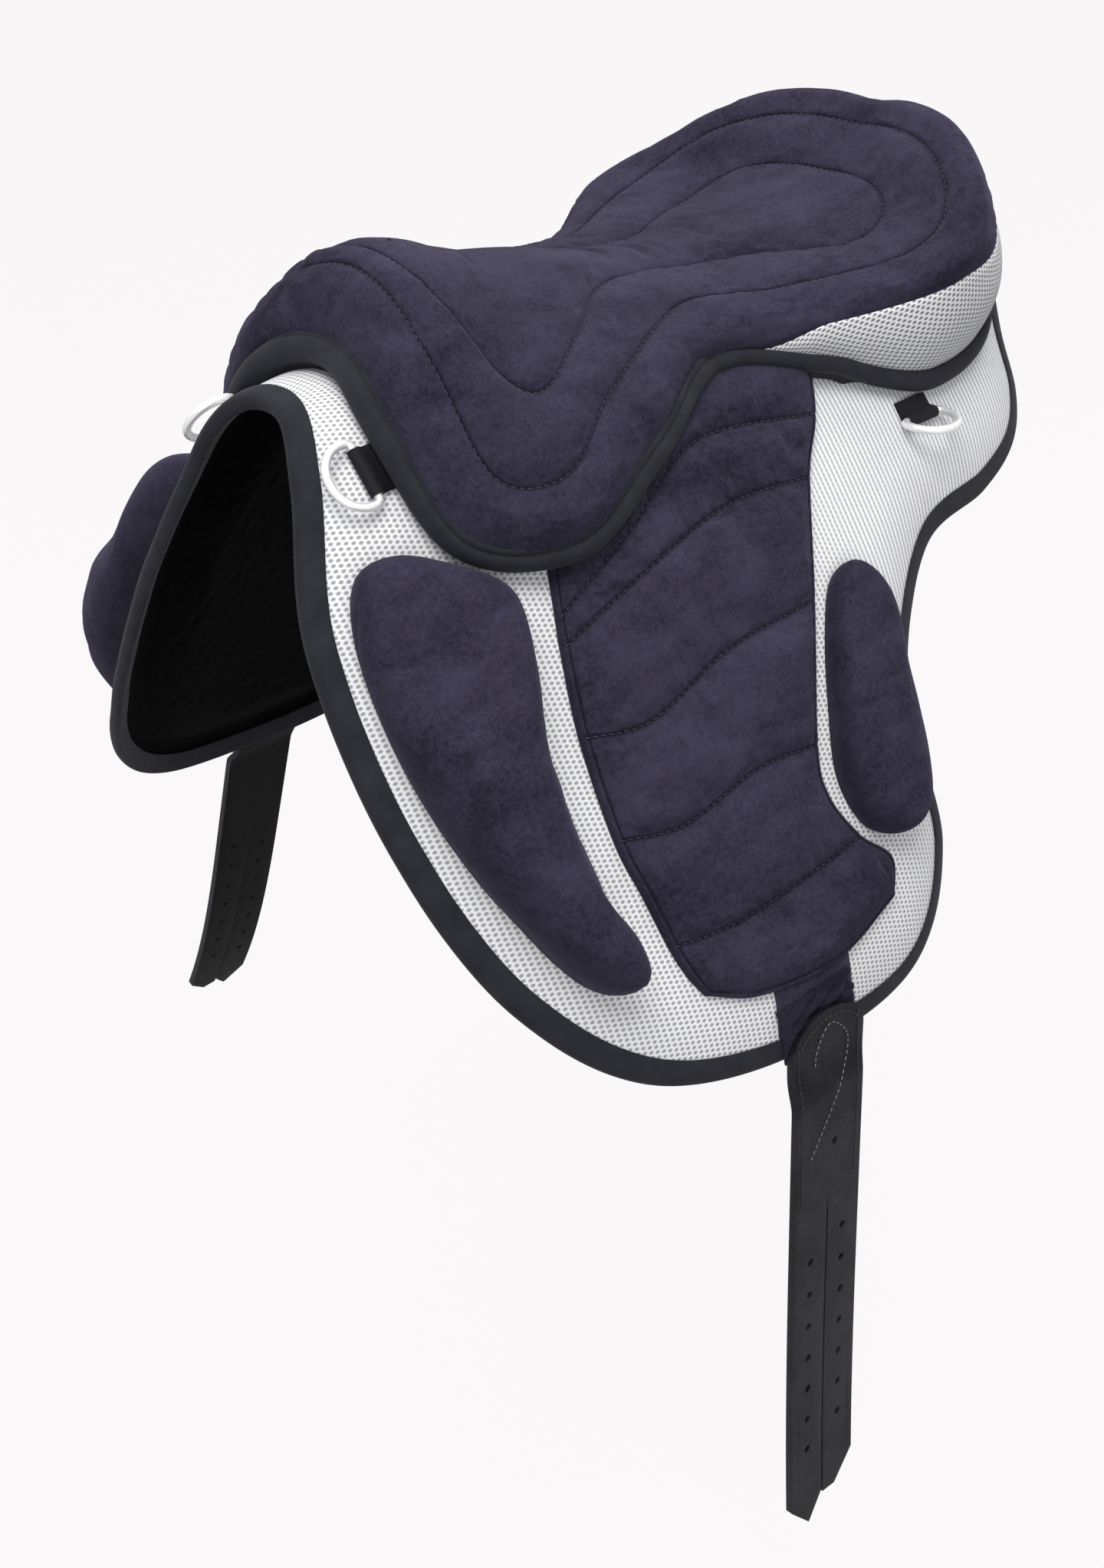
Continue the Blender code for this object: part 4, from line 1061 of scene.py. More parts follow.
@dataclass
class LegPanel:
    """Quilted suede panel under the rider's leg, with sewn channels."""

    finishes: Finishes
    side: Side
    rows: tuple[tuple[bool, tuple[Pair, ...]], ...] = (
        (False, ((80, 124), (140, 106), (205, 78), (282, 92))),
        (True, ((67, 165), (121, 142), (181, 116), (262, 128))),
        (True, ((63, 178), (120, 163), (181, 151), (239, 156))),
        (True, ((53, 220), (90, 228), (145, 215), (209, 213))),
        (True, ((48, 271), (84, 280), (136, 274), (176, 279))),
        (False, ((50, 300), (86, 309), (139, 304), (171, 305))),
        (True, ((52, 329), (90, 335), (142, 334), (181, 331))),
        (False, ((55, 346), (90, 356), (141, 360), (196, 350))),
        (False, ((60, 359), (90, 375), (140, 382), (188, 370))),
    )
    low: float = 0.0031
    seam: float = 0.0020
    crown: float = 0.0066
    columns: int = 120
    per_row: int = 18
    crowding: float = 0.7
    hem: float = 0.0034
    hem_rise: float = 0.0007
    fold: float = 0.0006
    swell_run: float = 0.0065
    side_run: float = 0.0050
    groove_run: float = 0.0010
    pucker: float = 0.0010
    pucker_runs: Triple = (0.008, 0.0012, 0.004)
    softness: float = 0.0009
    tuck: float = 0.0024
    tuck_run: float = 0.0009
    line: float = 0.0011
    pinned: float = 0.0025
    side_pinned: Pair = (0.0045, 0.0120)
    slack: Slack = Slack(extra=0.045, cap=0.0020)
    stitch: Stitch = Stitch()

    def ladder(self) -> tuple[Array, Array]:
        """The panel's places on the unrolled base, row by row.

        Returns:
            The places as an array of rows and columns, and the row numbers that are sewn.
        """
        shares = crowded(np.linspace(0, 1, self.columns + 1), self.crowding)
        known = np.array(
            [along_curve(smooth_points(np.array(row) * MM, 10), shares) for _, row in self.rows]
        )
        flat = known.reshape(len(known), -1)
        dense = smooth_points(flat, self.per_row, crowding=self.crowding)
        sewn = [k * self.per_row for k, (is_sewn, _) in enumerate(self.rows) if is_sewn]
        return dense.reshape(-1, self.columns + 1, 2), np.array(sewn)

    def relief(self, places: Array, sewn: Array) -> tuple[Array, dict[str, Array]]:
        """The swell of the channels between their seams.

        Args:
            places: Places on the unrolled base, as rows and columns.
            sewn: The rows that are sewn.

        Returns:
            Heights over the base, and the marks of the points.
        """
        length, width = run_along(places), run_along(places, 1)
        to_seam = np.min([np.abs(length - length[k]) for k in sewn], axis=0)
        to_side = np.minimum(width, width[:, -1:] - width)
        to_end = np.minimum(to_side, length[-1:] - length)
        inside = np.maximum(to_end - self.hem, 0)
        swell = (1 - fade(to_seam, self.swell_run)) * (1 - fade(inside, self.side_run))
        spots = places.reshape(-1, 2)
        puckers = ripple(spots * (1.0, 0.3), 0.011, 11).reshape(swell.shape)
        near, off, within = self.pucker_runs
        near = fade(to_seam, near) * (1 - fade(to_seam, off)) * (1 - fade(inside, within))
        soft = ripple(spots, 0.055, 12).reshape(swell.shape)
        hemmed = bump(to_end - self.hem * 0.45, self.hem * 0.40)
        crease = bump(to_end - self.hem, self.fold)
        height = self.seam + (self.crown - self.seam) * swell + hemmed * self.hem_rise
        height += puckers * near * self.pucker + soft * swell * self.softness
        height -= (crease + bump(to_seam, self.groove_run)) * self.fold
        tucked = 1 - fade(to_end, self.tuck_run)
        height = self.low + height * tucked - self.tuck * (1 - tucked)
        # Painted shade: the seam mark darkens the suede along the sewn grooves, in the hem crease
        # and at the tucked edge.
        seam = bump(to_seam, self.line) * (to_end > self.hem) + crease
        held = np.maximum(bump(to_seam, self.pinned), 1 - ease(*self.side_pinned, to_end))
        return height, {"seam": seam + fade(to_end, self.fold), "held": held}

    def build(self) -> None:
        """The quilted sheet, with its turned hem and stitches."""
        places, sewn = self.ladder()
        height, marks = self.relief(places, sewn)
        points = mirrored(BACK.at(places[..., 0], places[..., 1], height), self.side)
        made = grid_of(points, places, marks)
        face_out(made, (self.side.value, 0, 0))
        self.slack.relax(made)
        label = self.side.label
        Dressing(
            f"leg_panel_{label}", self.finishes.suede, "suede", thickness=0.0018,
            replaces=(f"quilted_panel_{label}",), padding=0.55,
        ).piece(made)
        threads = []
        for k in sewn:
            back, down = places[k, 2:-2].T
            top = np.full(len(back), self.low + self.seam + 0.0001)
            points = mirrored(BACK.at(back, down, top), self.side)
            out = mirrored(BACK.axes(back, down)[2], self.side)
            threads.append(self.stitch.row(points, out))
        Dressing(
            f"leg_panel_stitches_{label}", self.finishes.dark_thread, "suede"
        ).piece(together(threads))


@dataclass
class Block:
    """Padded block of foam under suede, sewn on the base."""

    name: str
    finishes: Finishes
    side: Side
    outline: tuple[Pair, ...]
    height: float
    top_height: float
    low: float = 0.0005
    around: int = 120
    up: int = 26
    slack: Slack = Slack(extra=0.005, cap=0.0009)

    def build(self) -> None:
        """The crowned pad with its edge drawn in at the seam."""
        loop = smooth_points(np.array(self.outline) * MM, 12, closed=True)
        loop = along_curve(
            np.concatenate([loop, loop[:1]]), np.linspace(0, 1, self.around + 1)
        )
        centre = loop[:-1].mean(axis=0)
        heading = np.linalg.svd(loop[:-1] - centre)[2][0]
        feet = centre + np.outer((loop - centre) @ heading * 0.55, heading)
        lows = loop[:, 1]
        grown = ease(lows.min(), lows.min() + 0.6 * np.ptp(lows), lows)
        tops = self.top_height + (self.height - self.top_height) * grown
        profile = smooth_points(
            ((1.0, 0.0), (1.045, 0.25), (1.035, 0.55), (0.93, 0.82), (0.68, 0.96), (0.3, 1.0),
             (0.02, 1.0)),
            8,
        )

        def place(u: Array, v: Array) -> Array:
            k = np.rint(u * self.around).astype(int)
            scale, share = along_curve(profile, v).T
            spot = feet[k] + (loop[k] - feet[k]) * scale[:, None]
            soft = ripple(spot, 0.06, 21) * 0.0007 * ease(0.3, 0.9, share)
            height = self.low + tops[k] * share + soft
            return mirrored(BACK.at(spot[:, 0], spot[:, 1], height), self.side)

        def share_up(u: Array, v: Array) -> Array:
            return along_curve(profile, v)[:, 1]

        # Painted shade: a dark line along the pad's foot and a darker lower half of its side walls,
        # carried as its seam mark.
        def shaded(u: Array, v: Array) -> Array:
            share = share_up(u, v)
            return fade(share, 0.035) + 0.5 * (1 - ease(0.30, 0.95, share))

        marks = {
            "seam": shaded,
            "held": lambda u, v: 1 - ease(0.05, 0.30, share_up(u, v)),
        }
        made = bent_grid(self.around, self.up, place, marks=marks)
        rim = [edge for edge in made.edges if edge.is_boundary]
        bmesh.ops.holes_fill(made, edges=rim)
        caps = [face for face in made.faces if len(face.verts) > 4]
        bmesh.ops.triangulate(made, faces=caps)
        bmesh.ops.recalc_face_normals(made, faces=made.faces)
        self.slack.relax(made)
        node = f"{self.name}_{self.side.label}"
        Dressing(
            f"{node}_pad", self.finishes.suede, "suede", replaces=(node,), padding=0.8,
            crease_angle=75,
        ).piece(made)


class SeatLine(Enum):
    """The seat's guide lines, from the spine outward, as their place in the list of guides."""

    SPINE = 0
    INNER_SEAM = 1
    OUTER_SEAM = 2
    CREST = 3
    COVER_EDGE = 4


@dataclass
class PaddedSeat:
    """Seat from pommel to cantle: quilted suede top, mesh gusset and rolled edge tape."""

    finishes: Finishes
    guides: tuple[tuple[Triple, ...], ...] = (
        (
            (78, 0, 51), (92, 0, 48), (108, 0, 43), (130, 0, 36), (165, 0, 28),
            (210, 0, 17), (262, 0, 11), (320, 0, 12), (365, 0, 18), (385, 0, 22),
        ),
        (
            (66, 0, 53), (70, 34, 45), (80, 60, 34), (98, 72, 30), (130, 59, 28),
            (190, 30, 20), (268, 33, 12), (335, 67, 24), (376, 61, 33), (397, 0, 25),
        ),
        (
            (53, 0, 48), (49, 47, 38), (56, 96, 30), (90, 108, 30), (133, 84, 28),
            (205, 62, 24), (268, 85, 31), (340, 128, 70), (385, 107, 77), (423, 0, 46),
        ),
        (
            (43, 0, 37), (37, 50, 28), (48, 106, 25), (88, 124, 28), (142, 99, 27),
            (208, 80, 25), (276, 114, 44), (340, 173, 105), (391, 130, 98), (436, 0, 55),
        ),
        (
            (36, 0, 16), (28, 54, 15), (36, 115, 15), (88, 137, 19), (147, 112, 18),
            (211, 88, 17), (281, 132, 50), (346, 179, 100), (406, 140, 84), (452, 0, 34),
        ),
    )
    band_guide: tuple[Triple, ...] = (
        (34, 0, 15), (26, 53, 14), (36, 115, 15), (88, 138, 19), (148, 114, 18),
        (211, 88, 17), (275, 115, 21), (350, 144, 23), (425, 114, 21), (462, 0, 16),
    )
    plan: tuple[Pair, ...] = (
        (30, 0), (19, 50), (32, 116), (88, 144), (150, 120),
        (210, 91), (275, 112), (350, 141), (424, 110), (460, 0),
    )
    lean: Pair = (0.160, 0.280)
    per_span: int = 22
    per_guide: int = 16
    crowding: float = 0.65
    relief: float = 0.0028
    swell_width: float = 0.0085
    groove: float = 0.0012
    groove_width: float = 0.0016
    edge_run: float = 0.006
    pucker: float = 0.0009
    pucker_runs: Pair = (0.010, 0.002)
    softness: float = 0.0010
    line: float = 0.0011
    edge_line: float = 0.0009
    pinned: float = 0.003
    edge_pinned: float = 0.008
    wall_opens: Pair = (5.42, 5.92)
    gusset_start: float = 0.585
    wall_steps: int = 14
    tape_share: float = 0.08
    tape_full: float = 0.84
    tape_narrow: Pair = (0.05, 0.10)
    tape_bulge: Pair = (0.0022, 0.0026)
    tape_tuck: Pair = (0.0090, 0.0060)
    tape_lip: tuple[Pair, ...] = ((0.0022, 0.0010), (0.0045, 0.0022))
    band_low: float = 0.30
    slack: Slack = Slack(extra=0.015, cap=0.0012)
    stitch: Stitch = Stitch(share=0.70, radius=0.00036)
    top: Array = field(init=False)
    foot: Array = field(init=False)
    band: Array = field(init=False)

    def guide_points(self, guide: tuple[tuple[float, ...], ...]) -> Array:
        """Points of a guide line: square to the base in front, upright at the cantle."""
        dense = smooth_points(guide, self.per_span, mirror=(1, -1, 1)) * MM
        back, down, height = dense.T
        on_base = BACK.face(back, down, np.zeros(len(back)))
        square = BACK.face(back, down, np.ones(len(back))) - on_base
        upright = ease(*self.lean, back)[:, None]
        lean = square * (1 - upright) + np.array([0, 0, 1.0]) * upright
        return on_base + unit(lean) * height[:, None]

    def under(self, back: Array, down: Array) -> Array:
        """Height of the seat's foot over the base: higher where it lies on the leg panel."""
        over = ease(0.060, 0.086, np.abs(down))
        over = over * ease(0.046, 0.076, back) * (1 - ease(0.286, 0.306, back))
        return 0.004 + 0.006 * over

    def __post_init__(self) -> None:
        """Lays out the seat's surface as ribs from the spine over the rim to the base."""
        lines = [self.guide_points(guide) for guide in self.guides]
        known = [lines[1] * OVER_SPINE, *lines, 2 * lines[-1] - lines[-2]]
        shares = crowded(np.arange(self.per_guide) / self.per_guide, self.crowding)
        spans = [known[k : k + 4] for k in range(len(known) - 3)]
        columns = [catmull(span, share) for span in spans for share in shares]
        edge = lines[-1]
        self.top = np.stack([*columns, edge], axis=1)
        back, down = (smooth_points(self.plan, self.per_span, mirror=(1, -1)) * MM).T
        self.foot = BACK.at(back, down, self.under(back, down))
        band = self.guide_points(self.band_guide)
        gap = np.linalg.norm(edge - band, axis=1) / np.linalg.norm(edge - self.foot, axis=1)
        close = (1 - ease(self.tape_share, 3 * self.tape_share, gap))[:, None]
        near = edge * (1 - self.tape_share) + self.foot * self.tape_share
        self.band = band * (1 - close) + near * close
        low = ease(4.5, 5.3, np.arange(len(band)) / self.per_span)[:, None] * self.band_low
        self.band = self.band * (1 - low) + self.foot * low
        self.drape()
        for line in (self.top[:, 0], self.top[0], self.top[-1], self.foot[[0, -1]],
                     self.band[[0, -1]]):
            line[..., 0] = 0.0

    def drape(self) -> None:
        """Draws the cover's skirt down to the tape in front of the mesh wall."""
        guide = np.arange(len(self.band)) / self.per_span
        drawn = ease(4.7, 5.1, guide) * (1 - ease(*self.wall_opens, guide))
        last = self.per_guide
        share = np.linspace(0, 1, last + 1) ** 2
        pull = (self.band + (self.top[:, -1] - self.band) * 0.06 - self.top[:, -1])[:, None]
        self.top[:, -last - 1 :] += pull * share[:, None] * drawn[:, None, None]

    def normals(self, grid: Array) -> Array:
        """Outward unit normals of a grid of points that is mirrored past its sides."""
        flip = OVER_SPINE
        tall = np.concatenate([grid[1:2] * flip, grid, grid[-2:-1] * flip])
        down = tall[2:] - tall[:-2]
        wide = np.concatenate([grid[:, 1:2] * flip, grid, 2 * grid[:, -1:] - grid[:, -2:-1]], 1)
        across = wide[:, 2:] - wide[:, :-2]
        normal = np.cross(across, down)
        normal /= np.maximum(np.linalg.norm(normal, axis=-1, keepdims=True), 1e-12)
        middle = normal[len(grid) // 2, 3]
        return normal if middle[2] > 0 else -normal

    def quilted_top(self) -> tuple[Array, dict[SeatLine, Array], dict[str, Array]]:
        """The top with its sewn seams pressed in.

        Returns:
            The points as ribs and columns, the line of each seam, and the marks of the points.
        """
        grid = self.top
        normal = self.normals(grid)
        length = run_along(grid, 1)
        seams = {
            line: line.value * self.per_guide
            for line in (SeatLine.INNER_SEAM, SeatLine.OUTER_SEAM)
        }
        away = np.min([np.abs(length - length[:, k : k + 1]) for k in seams.values()], axis=0)
        to_edge = length[:, -1:] - length
        spots = grid.reshape(-1, 3)
        puckers = ripple(spots, 0.016, 31).reshape(away.shape)
        soft = ripple(spots, 0.075, 32).reshape(away.shape)
        swell = (1 - fade(away, self.swell_width)) * (1 - fade(to_edge, self.edge_run))
        height = self.relief * swell - self.groove * fade(away, self.groove_width)
        near, off = self.pucker_runs
        height += puckers * fade(away, near) * (1 - fade(away, off)) * self.pucker
        height += soft * swell * self.softness - self.groove * fade(to_edge, self.groove)
        shaped = grid + normal * height[..., None]
        shaped[[0, -1], :, 0] = 0.0
        shaped[:, 0, 0] = 0.0
        lines = {line: shaped[:, k] + normal[:, k] * 0.0002 for line, k in seams.items()}
        # Painted shade: the seam mark darkens the suede along the sewn grooves and towards the rim.
        marks = {
            "seam": bump(away, self.line) + fade(to_edge, self.edge_line),
            "held": np.maximum(bump(away, self.pinned), bump(to_edge, self.edge_pinned)),
        }
        return shaped, lines, marks

    def mirrored_sheet(
        self, grid: Array, flat: Array, marks: dict[str, Array] | None = None
    ) -> Mesh:
        """A sheet of both sides from the points, unrolled places and marks of the left."""
        return both_halves(
            lambda side: grid_of(mirrored(grid, side), flat * (1, side.value), marks)
        )

    def build_top(self) -> None:
        """The suede top and its stitches."""
        shaped, lines, marks = self.quilted_top()
        made = self.mirrored_sheet(shaped, shaped[..., :2], marks)
        face_out(made, (0, 0, 1))
        self.slack.relax(made)
        Dressing(
            "seat_top", self.finishes.suede, "suede", thickness=0.0014,
            replaces=("seat_suede_cover", "seat_foam"), padding=0.75, crease_angle=80,
        ).piece(made)
        threads = []
        for line in lines.values():
            path = np.concatenate([line, line[::-1][1:] * OVER_SPINE])
            out = np.gradient(path, axis=0)
            out = np.cross(out, np.cross((0, 0, 1.0), out))
            threads.append(self.stitch.row(path, out))
        Dressing("seat_stitches", self.finishes.dark_thread, "suede").piece(together(threads))

    def build_gusset(self) -> None:
        """Mesh wall round the back of the cantle."""
        edge = self.top[:, -1]
        start = int(self.gusset_start * len(edge))
        shares = np.linspace(0.0, 1.0, self.wall_steps + 1)[None, :, None]
        wall = edge[start:, None] * (1 - shares) + self.band[start:, None] * shares
        tall = np.linalg.norm(edge - self.band, axis=1)[start:, None]
        bulge = np.sin(shares[..., 0] * math.pi) * 0.10 * tall
        normal = self.normals(wall)
        outward = wall - np.array([0, 0.10, 0])
        flip = np.sign((normal * outward).sum(-1, keepdims=True))
        wall = wall + normal * flip * bulge[..., None]
        wall[-1, :, 0] = 0.0
        run = run_along(edge[start:])[:, None]
        flat = np.stack(np.broadcast_arrays(run, shares[..., 0] * tall), axis=-1)
        made = self.mirrored_sheet(wall, flat)
        face_out(made, (0, 1, 0))
        Dressing(
            "cantle_wall", self.finishes.wall_mesh, "spacer_mesh", thickness=0.0014,
            replaces=("cantle_gusset",), padding=0.6,
        ).piece(made)

    def build_tape(self) -> None:
        """The rolled tape round the seat's lower edge."""
        wall = self.band - self.foot
        foot = self.foot
        ghost = np.concatenate([foot[1:2] * OVER_SPINE, foot, foot[-2:-1] * OVER_SPINE])
        run = ghost[2:] - ghost[:-2]
        normal = unit(np.cross(wall, run))
        middle = self.foot.mean(axis=0) * (0, 1, 1)
        normal *= np.sign(((self.foot - middle) * normal).sum(1))[:, None]
        up = unit(wall)
        turns = np.linspace(-0.10, 1.10, 15) * math.pi
        guide = np.arange(len(wall)) / self.per_span
        front, rear = 1 - ease(1.6, 3.2, guide), ease(4.8, 5.8, guide)
        share = (self.tape_full - self.tape_narrow[0] * front - self.tape_narrow[1] * rear)[:, None]
        bulge = self.tape_bulge[1] - (self.tape_bulge[1] - self.tape_bulge[0]) * front[:, None]
        centre = self.band - wall * share / 2
        rolled = [
            centre - wall * share / 2 * math.cos(t) + normal * (bulge * math.sin(t) + 0.0002)
            for t in turns
        ]
        under = [row - normal * in_ for row, in_ in zip((foot, rolled[0]), self.tape_tuck)]
        lip = [self.band + up * over - normal * in_ for over, in_ in self.tape_lip]
        grid = np.stack([*under, *rolled, *lip], axis=1)
        grid[[0, -1], :, 0] = 0.0
        length = run_along(self.foot)[:, None]
        across = np.concatenate([[-0.012, -0.002], turns * 0.0045, [0.019, 0.023]])
        flat = np.stack(np.broadcast_arrays(length, across[None]), axis=-1)
        made = self.mirrored_sheet(grid, flat)
        face_out(made, (0, 0, 1))
        Dressing(
            "seat_edge_tape", self.finishes.tape, "binding_tape", thickness=0.0012,
            replaces=("seat_binding",),
        ).piece(made)

    def build(self) -> None:
        """Makes every piece of the seat."""
        self.build_top()
        self.build_gusset()
        self.build_tape()


@dataclass
class Rings:
    """D-rings of bent wire in webbing tabs."""

    finishes: Finishes
    wire: float = 0.0044
    bar: float = 0.0315
    reach: float = 0.0210
    tab_wall: float = 0.0010
    gap: float = 0.0003
    front: Pair = (0.0115, 0.0655)
    front_lift: float = 18.0
    rear: Pair = (0.332, 0.1505)
    rear_lift: float = 52.0

    def build(self) -> None:
        """Makes the four rings and their tabs."""
        for side in Side:
            for heading, place, lift in (
                ("front", self.front, self.front_lift), ("rear", self.rear, self.rear_lift)
            ):
                node = f"d_ring_{heading}_{side.label}"
                made = self.ring(heading, place, lift, side)
                Dressing(
                    f"{node}_wire", self.finishes.steel, "ring_steel", node, (node,)
                ).piece(made)
                tab = f"d_ring_tab_{heading}_{side.label}"
                cloth = node_copy(tab)
                Dressing(
                    f"{tab}_web", self.finishes.webbing, "webbing", replaces=(tab,),
                    crease_angle=40,
                ).piece(cloth)

    def ring(
        self, heading: str, place: Pair, lift: float, side: Side
    ) -> Mesh:
        """One ring: a straight bar, bent corners and a round bow.

        Args:
            heading: Which way the ring points, front or rear.
            place: Where its bar lies on the unrolled base.
            lift: How far the ring stands off the base, in degrees.
            side: The side of the saddle.

        Returns:
            The ring.
        """
        rearward, downward, outward = BACK.axes(*(np.array(p) for p in place))
        reach = -rearward if heading == "front" else downward
        height = self.gap + self.tab_wall + self.wire / 2 + self.gap
        centre = BACK.at(np.array(place[0]), np.array(place[1]), np.array(height))
        tilt = math.radians(lift)
        swing = reach * math.cos(tilt) + outward * math.sin(tilt)
        bar = np.cross(outward, reach)
        radius = self.bar / 2
        corners = [
            (0.0, 0.0), (radius * 0.5, 0.0), (radius - 0.0032, 0.0), (radius - 0.0009, 0.0008),
            (radius, 0.0030),
        ]
        bow = [
            (radius * math.sin(t), self.reach - radius + radius * math.cos(t))
            for t in np.linspace(math.pi / 2, 0, 15)
        ]
        half = corners + bow[:-1]
        loop = half + [bow[-1]] + [(-x, y) for x, y in reversed(half[1:])]
        path = np.array([centre + bar * x + swing * y for x, y in loop])
        return tube(mirrored(path, side), self.wire / 2, 16, closed=True)


@dataclass
class GirthBillet:
    """Leather billet with two holed tails on its cloth hanger."""

    finishes: Finishes
    side: Side
    hang: float
    curl: float
    drift: float
    place_back: float = 0.119
    width: float = 0.050
    length: float = 0.322
    thickness: float = 0.0045
    head: float = 0.019
    bend: float = 0.025
    split: float = 0.106
    hanger_start: float = -0.0305
    hanger_end: float = -0.001
    leather_low: float = 0.0057
    flap_end: float = 0.002
    first_hole_shade: float = 0.134
    hole_shade_pitch: float = 0.021
    holes: int = 7
    steps: int = 200
    stitch: Stitch = Stitch(0.0034, 0.55, 0.00038)
    edge_down: float = field(init=False)

    def __post_init__(self) -> None:
        """Finds how far down the flap its bottom edge lies."""
        lowest = int(np.argmax(BACK.edge[:, 1]))
        near = BACK.edge[lowest - 40 : lowest + 40]
        self.edge_down = float(np.interp(self.place_back, *near.T))

    def hanging(self) -> tuple[Array, Array, Array, Array]:
        """The leather's centre line in the plane that it hangs in.

        Returns:
            Distances along it, its angles from straight down, and its two coordinates.
        """
        at = np.array(self.edge_down - self.head)
        downward = BACK.axes(np.array(self.place_back), at)[1]
        steps = np.linspace(0, self.length, self.steps)
        start = math.atan2(downward[0], -downward[2])
        clear = self.head + self.flap_end
        left = ease(clear, clear + self.bend, steps)
        tail = np.maximum(steps - self.split, 0) / (self.length - self.split)
        angles = start + (math.radians(self.hang) - start) * left
        angles = angles + math.radians(self.curl) * tail**2
        middles = (angles[1:] + angles[:-1]) / 2
        xs = np.concatenate([[0], np.cumsum(np.sin(middles) * steps[1])])
        zs = np.concatenate([[0], np.cumsum(-np.cos(middles) * steps[1])])
        return steps, angles, xs, zs

    def lay(self, flat: Array) -> Array:
        """Lays points of the flat leather on its hanging curve.

        Args:
            flat: Points as (across, along, out), one a row.

        Returns:
            The points in the saddle's own frame.
        """
        across, along, out = flat.T
        steps, angles, xs, zs = self.hanging()
        angle = np.interp(along, steps, angles)
        x = np.interp(along, steps, xs) + np.cos(angle) * out
        z = np.interp(along, steps, zs) + np.sin(angle) * out
        at = np.array(self.edge_down - self.head)
        centre = BACK.at(np.array(self.place_back), at, np.array(self.leather_low))
        sign = self.side.value
        slide = math.tan(math.radians(self.drift))
        hanging = centre * (sign, 1, 1) + np.stack(
            [sign * x, sign * across + slide * along, z], axis=-1
        )
        clear = self.head + self.flap_end
        left = ease(clear, clear + self.bend, along)[:, None]
        down = self.edge_down - self.head + along
        on_flap = BACK.at(self.place_back + sign * across, down, self.leather_low + out)
        return hanging * left + mirrored(on_flap, self.side) * (1 - left)

    def outline(self) -> list[Pair]:
        """Outline of the leather: a round head and two cut tails."""
        half, slot, end = self.width / 2, 0.0006, self.length
        shape = [
            (half * math.cos(t), 0.018 * (1 - math.sin(t)))
            for t in np.radians(np.arange(180, -1, -10))
        ]
        shape += [(half, end - 0.028), (half * 0.42, end - 0.012), (slot, end - 0.013)]
        shape += [(slot, self.split + 0.012), (0, self.split), (-slot, self.split + 0.012)]
        shape += [(-slot, end - 0.015), (-half * 0.45, end), (-half, end - 0.016)]
        return shape

    def hole_shade_places(self) -> list[Pair]:
        """Centres of the buckle holes: one over the split, then a row down each tail."""
        quarter = self.width / 4
        places = [(0.004, self.split - 0.030)]
        for k in range(self.holes):
            along = self.first_hole_shade + k * self.hole_shade_pitch
            places += [(quarter, along), (-quarter, along + 0.009)]
        return places

    def build_leather(self) -> None:
        """The leather, cut flat with its holes, then hung, with rounded edges."""
        loops = [self.outline()]
        for across, along in self.hole_shade_places():
            loops.append([
                (across + 0.0021 * math.cos(t), along + 0.0021 * math.sin(t))
                for t in np.linspace(0, 2 * math.pi, 13)[:-1]
            ])
        made = bmesh.new()
        edges = []
        for loop in loops:
            verts = [made.verts.new((across, along, 0)) for across, along in loop]
            edges += [made.edges.new(pair) for pair in zip(verts, verts[1:] + verts[:1])]
        bmesh.ops.triangle_fill(made, edges=edges, use_beauty=True, normal=(0, 0, 1))
        for along in np.arange(0.004, self.length, 0.004):
            bmesh.ops.bisect_plane(
                made, geom=made.verts[:] + made.edges[:] + made.faces[:], dist=1e-6,
                plane_co=(0, along, 0), plane_no=(0, 1, 0),
            )
        moved = bmesh.ops.extrude_face_region(made, geom=made.faces[:])
        moved = [v for v in moved["geom"] if isinstance(v, bmesh.types.BMVert)]
        bmesh.ops.translate(made, verts=moved, vec=(0, 0, self.thickness))
        rim = [e for e in made.edges if len(e.link_faces) == 2 and e.calc_face_angle(0) > 1.2
               and abs(e.verts[0].co.z - e.verts[1].co.z) < 1e-6]
        bmesh.ops.bevel(
            made, geom=rim, offset=0.0005, segments=2, affect="EDGES", profile=0.5, material=-1,
            clamp_overlap=True,
        )
        made.verts.index_update()
        flats = np.array([vert.co[:] for vert in made.verts])
        half = self.width / 2 - 0.0045
        crease = np.exp(-((np.abs(flats[:, 0]) - half) / 0.0008) ** 2) * (flats[:, 1] > 0.10)
        flats[:, 2] -= crease * 0.0003 * (flats[:, 2] > self.thickness - 1e-5)
        for vert, point in zip(made.verts, self.lay(flats)):
            vert.co = point
        # Painted shade: the flat underside of the leather gets the darker flesh-side material.
        for face in made.faces:
            face.material_index = int(max(flats[vert.index, 2] for vert in face.verts) < 0.0006)
        bmesh.ops.recalc_face_normals(made, faces=made.faces)
        label = self.side.label
        leather = Dressing(
            f"billet_leather_{label}", self.finishes.leather, "leather", f"billet_{label}",
            (f"billet_{label}",), crease_angle=40,
        ).piece(made)
        leather.data.materials.append(self.finishes.flesh_side)

    def stitch_lines(self) -> dict[str, list[Pair]]:
        """Rows of stitching on the head, as places on the flat leather."""
        half = self.width / 2
        border = [
            ((half - 0.004) * math.cos(t), 0.018 - (0.018 - 0.004) * math.sin(t))
            for t in np.radians(np.arange(180, -1, -15))
        ]
        rim = [(-half + 0.004, 0.105)] + border + [(half - 0.004, 0.105)]
        drop = [
            (-0.015, 0.078), (-0.004, 0.062), (0.006, 0.046), (0.013, 0.030), (0.012, 0.018),
            (0.003, 0.008), (-0.004, 0.011), (-0.009, 0.020), (-0.010, 0.030),
        ]
        return {"rim": rim, "drop": drop}

